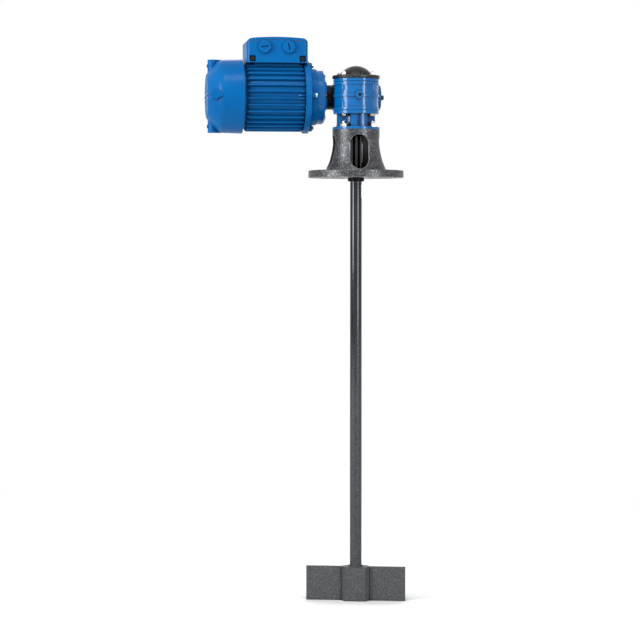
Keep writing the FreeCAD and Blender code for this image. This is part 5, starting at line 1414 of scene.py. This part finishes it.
@dataclass
class FinnedFrame:
    """The motor's finned tube with the seat of the terminal box. Sizes in millimetres."""

    drive_end: float = -108.8
    fan_end: float = -234.8
    bore: float = 62.0
    tube: float = 67.0
    tip: float = 74.0
    fan_taper: float = 9.0
    fan_lip: float = 63.4
    sides: int = 160
    fins: int = 32
    fin_root_half: float = 2.5
    fin_crest_half: float = 1.35
    fin_runs: tuple[float, float] = (3.0, 6.5)
    box_underside: float = 241.5
    box_middle: float = -167.1
    seat_length: float = 96.0
    seat_width: float = 72.0
    seat_low: float = 62.3
    seat_edge: float = 1.0
    lugs: int = 4
    lug_radius: float = 66.0
    lug: Fin = Fin(15.5, 3.7, 3.7, 2.96, 0.5, 9.3)

    def build(self, wardrobe: Wardrobe) -> None:
        """Builds the tube, its fins, seat and screw lugs as one piece.

        Args:
            wardrobe: The finishes.
        """
        growth = FinGrowth(wardrobe.finishes[Slot.MOTOR])
        length = self.drive_end - self.fan_end
        fin = Fin(length, self.tip - self.tube, self.fin_root_half, self.fin_crest_half,
                  *self.fin_runs)
        fins = self.ring(self.fins, 0.5, self.drive_end - length / 2, self.tube)
        lugs = self.ring(self.lugs, 0.0, self.drive_end - self.lug.length / 2, self.lug_radius)
        parts = [self.tube_piece(), self.seat(),
                 growth.grow("frame_fins", fins, self.inputs(fin)),
                 growth.grow("frame_lugs", lugs, self.inputs(self.lug))]
        piece = weld_together("stator_frame_dressed", parts)
        wardrobe.dress(piece, Slot.MOTOR, Body.DRIVE, "stator_frame")

    def tube_piece(self) -> Object:
        """Turns the plain tube, with a taper under the fan cowl.

        Returns:
            The tube.
        """
        profile = [(self.drive_end, self.bore), (self.drive_end, self.tube),
                   (self.fan_end + self.fan_taper, self.tube), (self.fan_end, self.fan_lip),
                   (self.fan_end, self.bore)]
        return lathe("frame_tube", profile, MOTOR_AXIS, self.sides)

    def seat(self) -> Object:
        """Builds the block that carries the terminal box.

        Returns:
            The block.
        """
        y, z = MOTOR_AXIS
        long, wide = self.seat_length / 2, self.seat_width / 2
        return block("frame_seat", (self.box_middle - long, y - wide, z + self.seat_low),
                     (self.box_middle + long, y + wide, self.box_underside), self.seat_edge)

    @staticmethod
    def ring(count: int, start: float, along: float, radius: float) -> list[Point]:
        """Places round the motor's axis, in metres.

        Args:
            count: How many there are.
            start: Where the first one is, in steps from the back.
            along: Their X, in millimetres.
            radius: Their distance from the axis, in millimetres.

        Returns:
            The places.
        """
        y, z = MOTOR_AXIS
        return [(along * MM, (y + radius * cos) * MM, (z + radius * sin) * MM)
                for cos, sin in circle(count, start)]

    def inputs(self, fin: Fin) -> dict[str, float]:
        """The tree's inputs.

        Args:
            fin: The sizes of a fin or a lug.

        Returns:
            The inputs' values by name.
        """
        axis_y, axis_z = MOTOR_AXIS
        shared = {"axis_y": axis_y, "axis_z": axis_z, "box_underside": self.box_underside}
        return as_inputs(asdict(fin) | shared)


class WeldGrowth(Growth):
    """Weld beads: a drop of metal on each place, each laid over the one before."""

    SEGMENTS, RINGS, FLATNESS, SEED = 14, 8, 0.8, 21

    def __init__(self, material: Material) -> None:
        """Builds the tree.

        Args:
            material: The coat over the weld.
        """
        super().__init__("weld_drops")
        size, spread = self.size("Drop Radius"), self.size("Uneven Share")
        values = {"Segments": self.SEGMENTS, "Rings": self.RINGS, "Radius": 1.0}
        ball = self.node("GeometryNodeMeshUVSphere", {}, values).outputs["Mesh"]
        scale = size * (1 + self.uneven(1.0, self.SEED) * spread)
        drops = self.copies(ball, {"Scale": self.combine(scale, scale, scale * self.FLATNESS)})
        smooth = self.node("GeometryNodeSetShadeSmooth", {}, {"Geometry": self.real(drops)})
        self.end(smooth.outputs[0], material)


@dataclass
class PaddleWelds:
    """The weld beads of the paddle. Sizes in millimetres, before the paddle is turned."""

    turn: float = math.radians(-13.0)
    corner_across: float = 31.6
    corner_out: float = 4.6
    low: float = -899.8
    top: float = -830.8
    ring_radius: float = 14.4
    ring_height: float = -828.0
    step: float = 1.9
    drop: float = 2.3
    uneven: float = 0.14

    def places(self) -> list[Point]:
        """Spaces the drops along the corners of the boss and round its top.

        Returns:
            Every drop's middle, in metres.
        """
        spots = []
        count = int((self.top - self.low) / self.step) + 1
        for side, face in ((1, 1), (1, -1), (-1, 1), (-1, -1)):
            spots += [self.turned(side * self.corner_across, face * self.corner_out,
                                  self.low + i * self.step) for i in range(count)]
        radius = self.ring_radius
        for cos, sin in circle(int(FULL_TURN * radius / self.step)):
            spots.append(self.turned(radius * cos, radius * sin, self.ring_height))
        return spots

    def turned(self, x: float, y: float, z: float) -> Point:
        """A place on the turned paddle, in metres."""
        cos, sin = math.cos(self.turn), math.sin(self.turn)
        return ((x * cos - y * sin) * MM, (x * sin + y * cos) * MM, z * MM)

    def build(self, wardrobe: Wardrobe) -> None:
        """Lays the beads in place of the CAD's plain ones.

        Args:
            wardrobe: The finishes.
        """
        growth = WeldGrowth(wardrobe.finishes[Slot.PADDLE])
        sizes = {"Drop Radius": self.drop * MM, "Uneven Share": self.uneven}
        piece = growth.grow("paddle_welds_dressed", self.places(), sizes)
        wardrobe.dress(piece, Slot.PADDLE, Body.AGITATOR, "paddle_welds")


# Stage


def aim(thing: Object, place: Point, target: Point) -> None:
    """Puts a thing in its place and points it at its target.

    Args:
        thing: A lamp or the camera.
        place: Where it stands.
        target: What it looks at.
    """
    thing.location = place
    way = Vector(target) - Vector(place)
    thing.rotation_euler = way.to_track_quat("-Z", "Y").to_euler()


@dataclass(frozen=True)
class Lamp:
    """A soft rectangular studio lamp. Lengths in metres, power in watts."""

    name: str
    place: Point
    target: Point
    width: float
    height: float
    power: float

    def build(self) -> None:
        """Makes the lamp and points it at its target."""
        data = bpy.data.lights.new(self.name, "AREA")
        data.shape = "RECTANGLE"
        data.size, data.size_y = self.width, self.height
        data.energy = self.power
        aim(put_in_scene(self.name, data), self.place, self.target)


LAMPS = (
    Lamp("right_strip", (1.24, -1.88, 0.30), (0.0, 0.0, 0.0), width=0.30, height=1.5, power=26.0),
    Lamp("left_box", (-2.2, -1.0, 0.5), (0.0, 0.0, 0.0), width=0.80, height=1.5, power=50.0),
    Lamp("top_box", (-0.3, -1.1, 1.9), (-0.1, 0.0, 0.1), width=0.9, height=0.6, power=15.0),
    Lamp("back_box", (0.4, 2.4, 0.9), (0.0, 0.0, -0.1), width=1.6, height=1.4, power=13.0),
)


@dataclass
class Studio:
    """The pale floor, the white surroundings, the lamps and the camera."""

    floor_height: float = -0.902
    floor_radius: float = 3.0
    floor_sides: int = 96
    floor_colour: Colour = (0.9, 0.9, 0.9, 1.0)
    floor_glow: float = 0.48
    floor_fade: tuple[float, float] = (1.0, 2.4)
    shade_reach: float = 0.60
    shade_ramp: tuple[float, float] = (0.66, 0.985)
    backdrop_light: float = 0.20
    camera_distance: float = 4.5
    camera_azimuth: float = math.radians(-8.5)
    camera_height: float = -0.11
    target: Point = (-0.077, 0.0, -0.3015)
    lens: float = 119.0
    sensor: float = 36.0
    sight: float = 50.0

    def backdrop(self, graph: Graph) -> Socket:
        """The light of the surroundings: white to the eye and gentle as light."""
        return self.backdrop_light + graph.seen() * (1 - self.backdrop_light)

    def light_world(self) -> None:
        """Makes the surroundings."""
        world = bpy.data.worlds.new("studio")
        bpy.context.scene.world = world
        world.use_nodes = True
        world.node_tree.nodes.clear()
        graph = Graph(world.node_tree)
        values = {"Color": WHITE, "Strength": self.backdrop(graph)}
        background = graph.node("ShaderNodeBackground", {}, values)
        graph.node("ShaderNodeOutputWorld", {}, {"Surface": background.outputs[0]})

    def lay_floor(self) -> None:
        """Lays a pale floor that is white to the eye and keeps the object's shadow."""
        mesh = bpy.data.meshes.new("floor")
        ring = [(self.floor_radius * cos, self.floor_radius * sin, self.floor_height)
                for cos, sin in circle(self.floor_sides)]
        mesh.from_pydata(ring, [], [tuple(range(self.floor_sides))])
        mesh.materials.append(self.floor_paper())
        put_in_scene("floor", mesh)

    def floor_paper(self) -> Material:
        """White paper that darkens where the object stands over it and fades out far away.

        Returns:
            The material.
        """
        shader = Shader("floor_paper")
        length = shader.node("ShaderNodeVectorMath", {"operation": "LENGTH"}, {0: shader.place()})
        away = Socket(shader, length.outputs["Value"]).ramp(*self.floor_fade)
        near = shader.open_share(self.shade_reach).ramp(*self.shade_ramp)
        paper = shader.node("ShaderNodeBsdfDiffuse", {}, {"Color": self.floor_colour})
        # Painted shadow: the glow fades where the object closes the floor in, on top of the real
        # shadow from the lamps
        strength = shader.seen() * near * self.floor_glow
        glow = shader.node("ShaderNodeEmission", {}, {"Strength": strength})
        lit = shader.node("ShaderNodeAddShader", {}, {0: paper.outputs[0], 1: glow.outputs[0]})
        white = shader.node("ShaderNodeEmission", {}, {"Strength": self.backdrop(shader)})
        values = {0: away, 1: lit.outputs[0], 2: white.outputs[0]}
        both = shader.node("ShaderNodeMixShader", {}, values)
        shader.node("ShaderNodeOutputMaterial", {}, {"Surface": both.outputs[0]})
        return shader.material

    def set_camera(self) -> None:
        """Sets the camera at the photograph's angle."""
        data = bpy.data.cameras.new("camera")
        data.lens, data.clip_end = self.lens, self.sight
        data.sensor_width, data.sensor_fit = self.sensor, "HORIZONTAL"
        camera = put_in_scene("camera", data)
        across = self.camera_distance * math.sin(self.camera_azimuth)
        back = self.camera_distance * math.cos(self.camera_azimuth)
        aim(camera, (across, -back, self.camera_height), self.target)
        bpy.context.scene.camera = camera

    def build(self) -> None:
        """Builds the whole stage."""
        bpy.context.scene.view_settings.view_transform = "Standard"
        self.light_world()
        self.lay_floor()
        for lamp in LAMPS:
            lamp.build()
        self.set_camera()


def main() -> None:
    """Dresses the agitator and sets it on its stage."""
    logging.basicConfig(level=logging.INFO, format="%(name)s: %(message)s")
    wardrobe = Wardrobe()
    wardrobe.make()
    wardrobe.dress_nodes()
    set_hardware(wardrobe)
    for piece in (EndCap(), EntryPlugs(), FinnedFrame(), PaddleWelds()):
        piece.build(wardrobe)
    Studio().build()


if __name__ == "__main__":
    main()
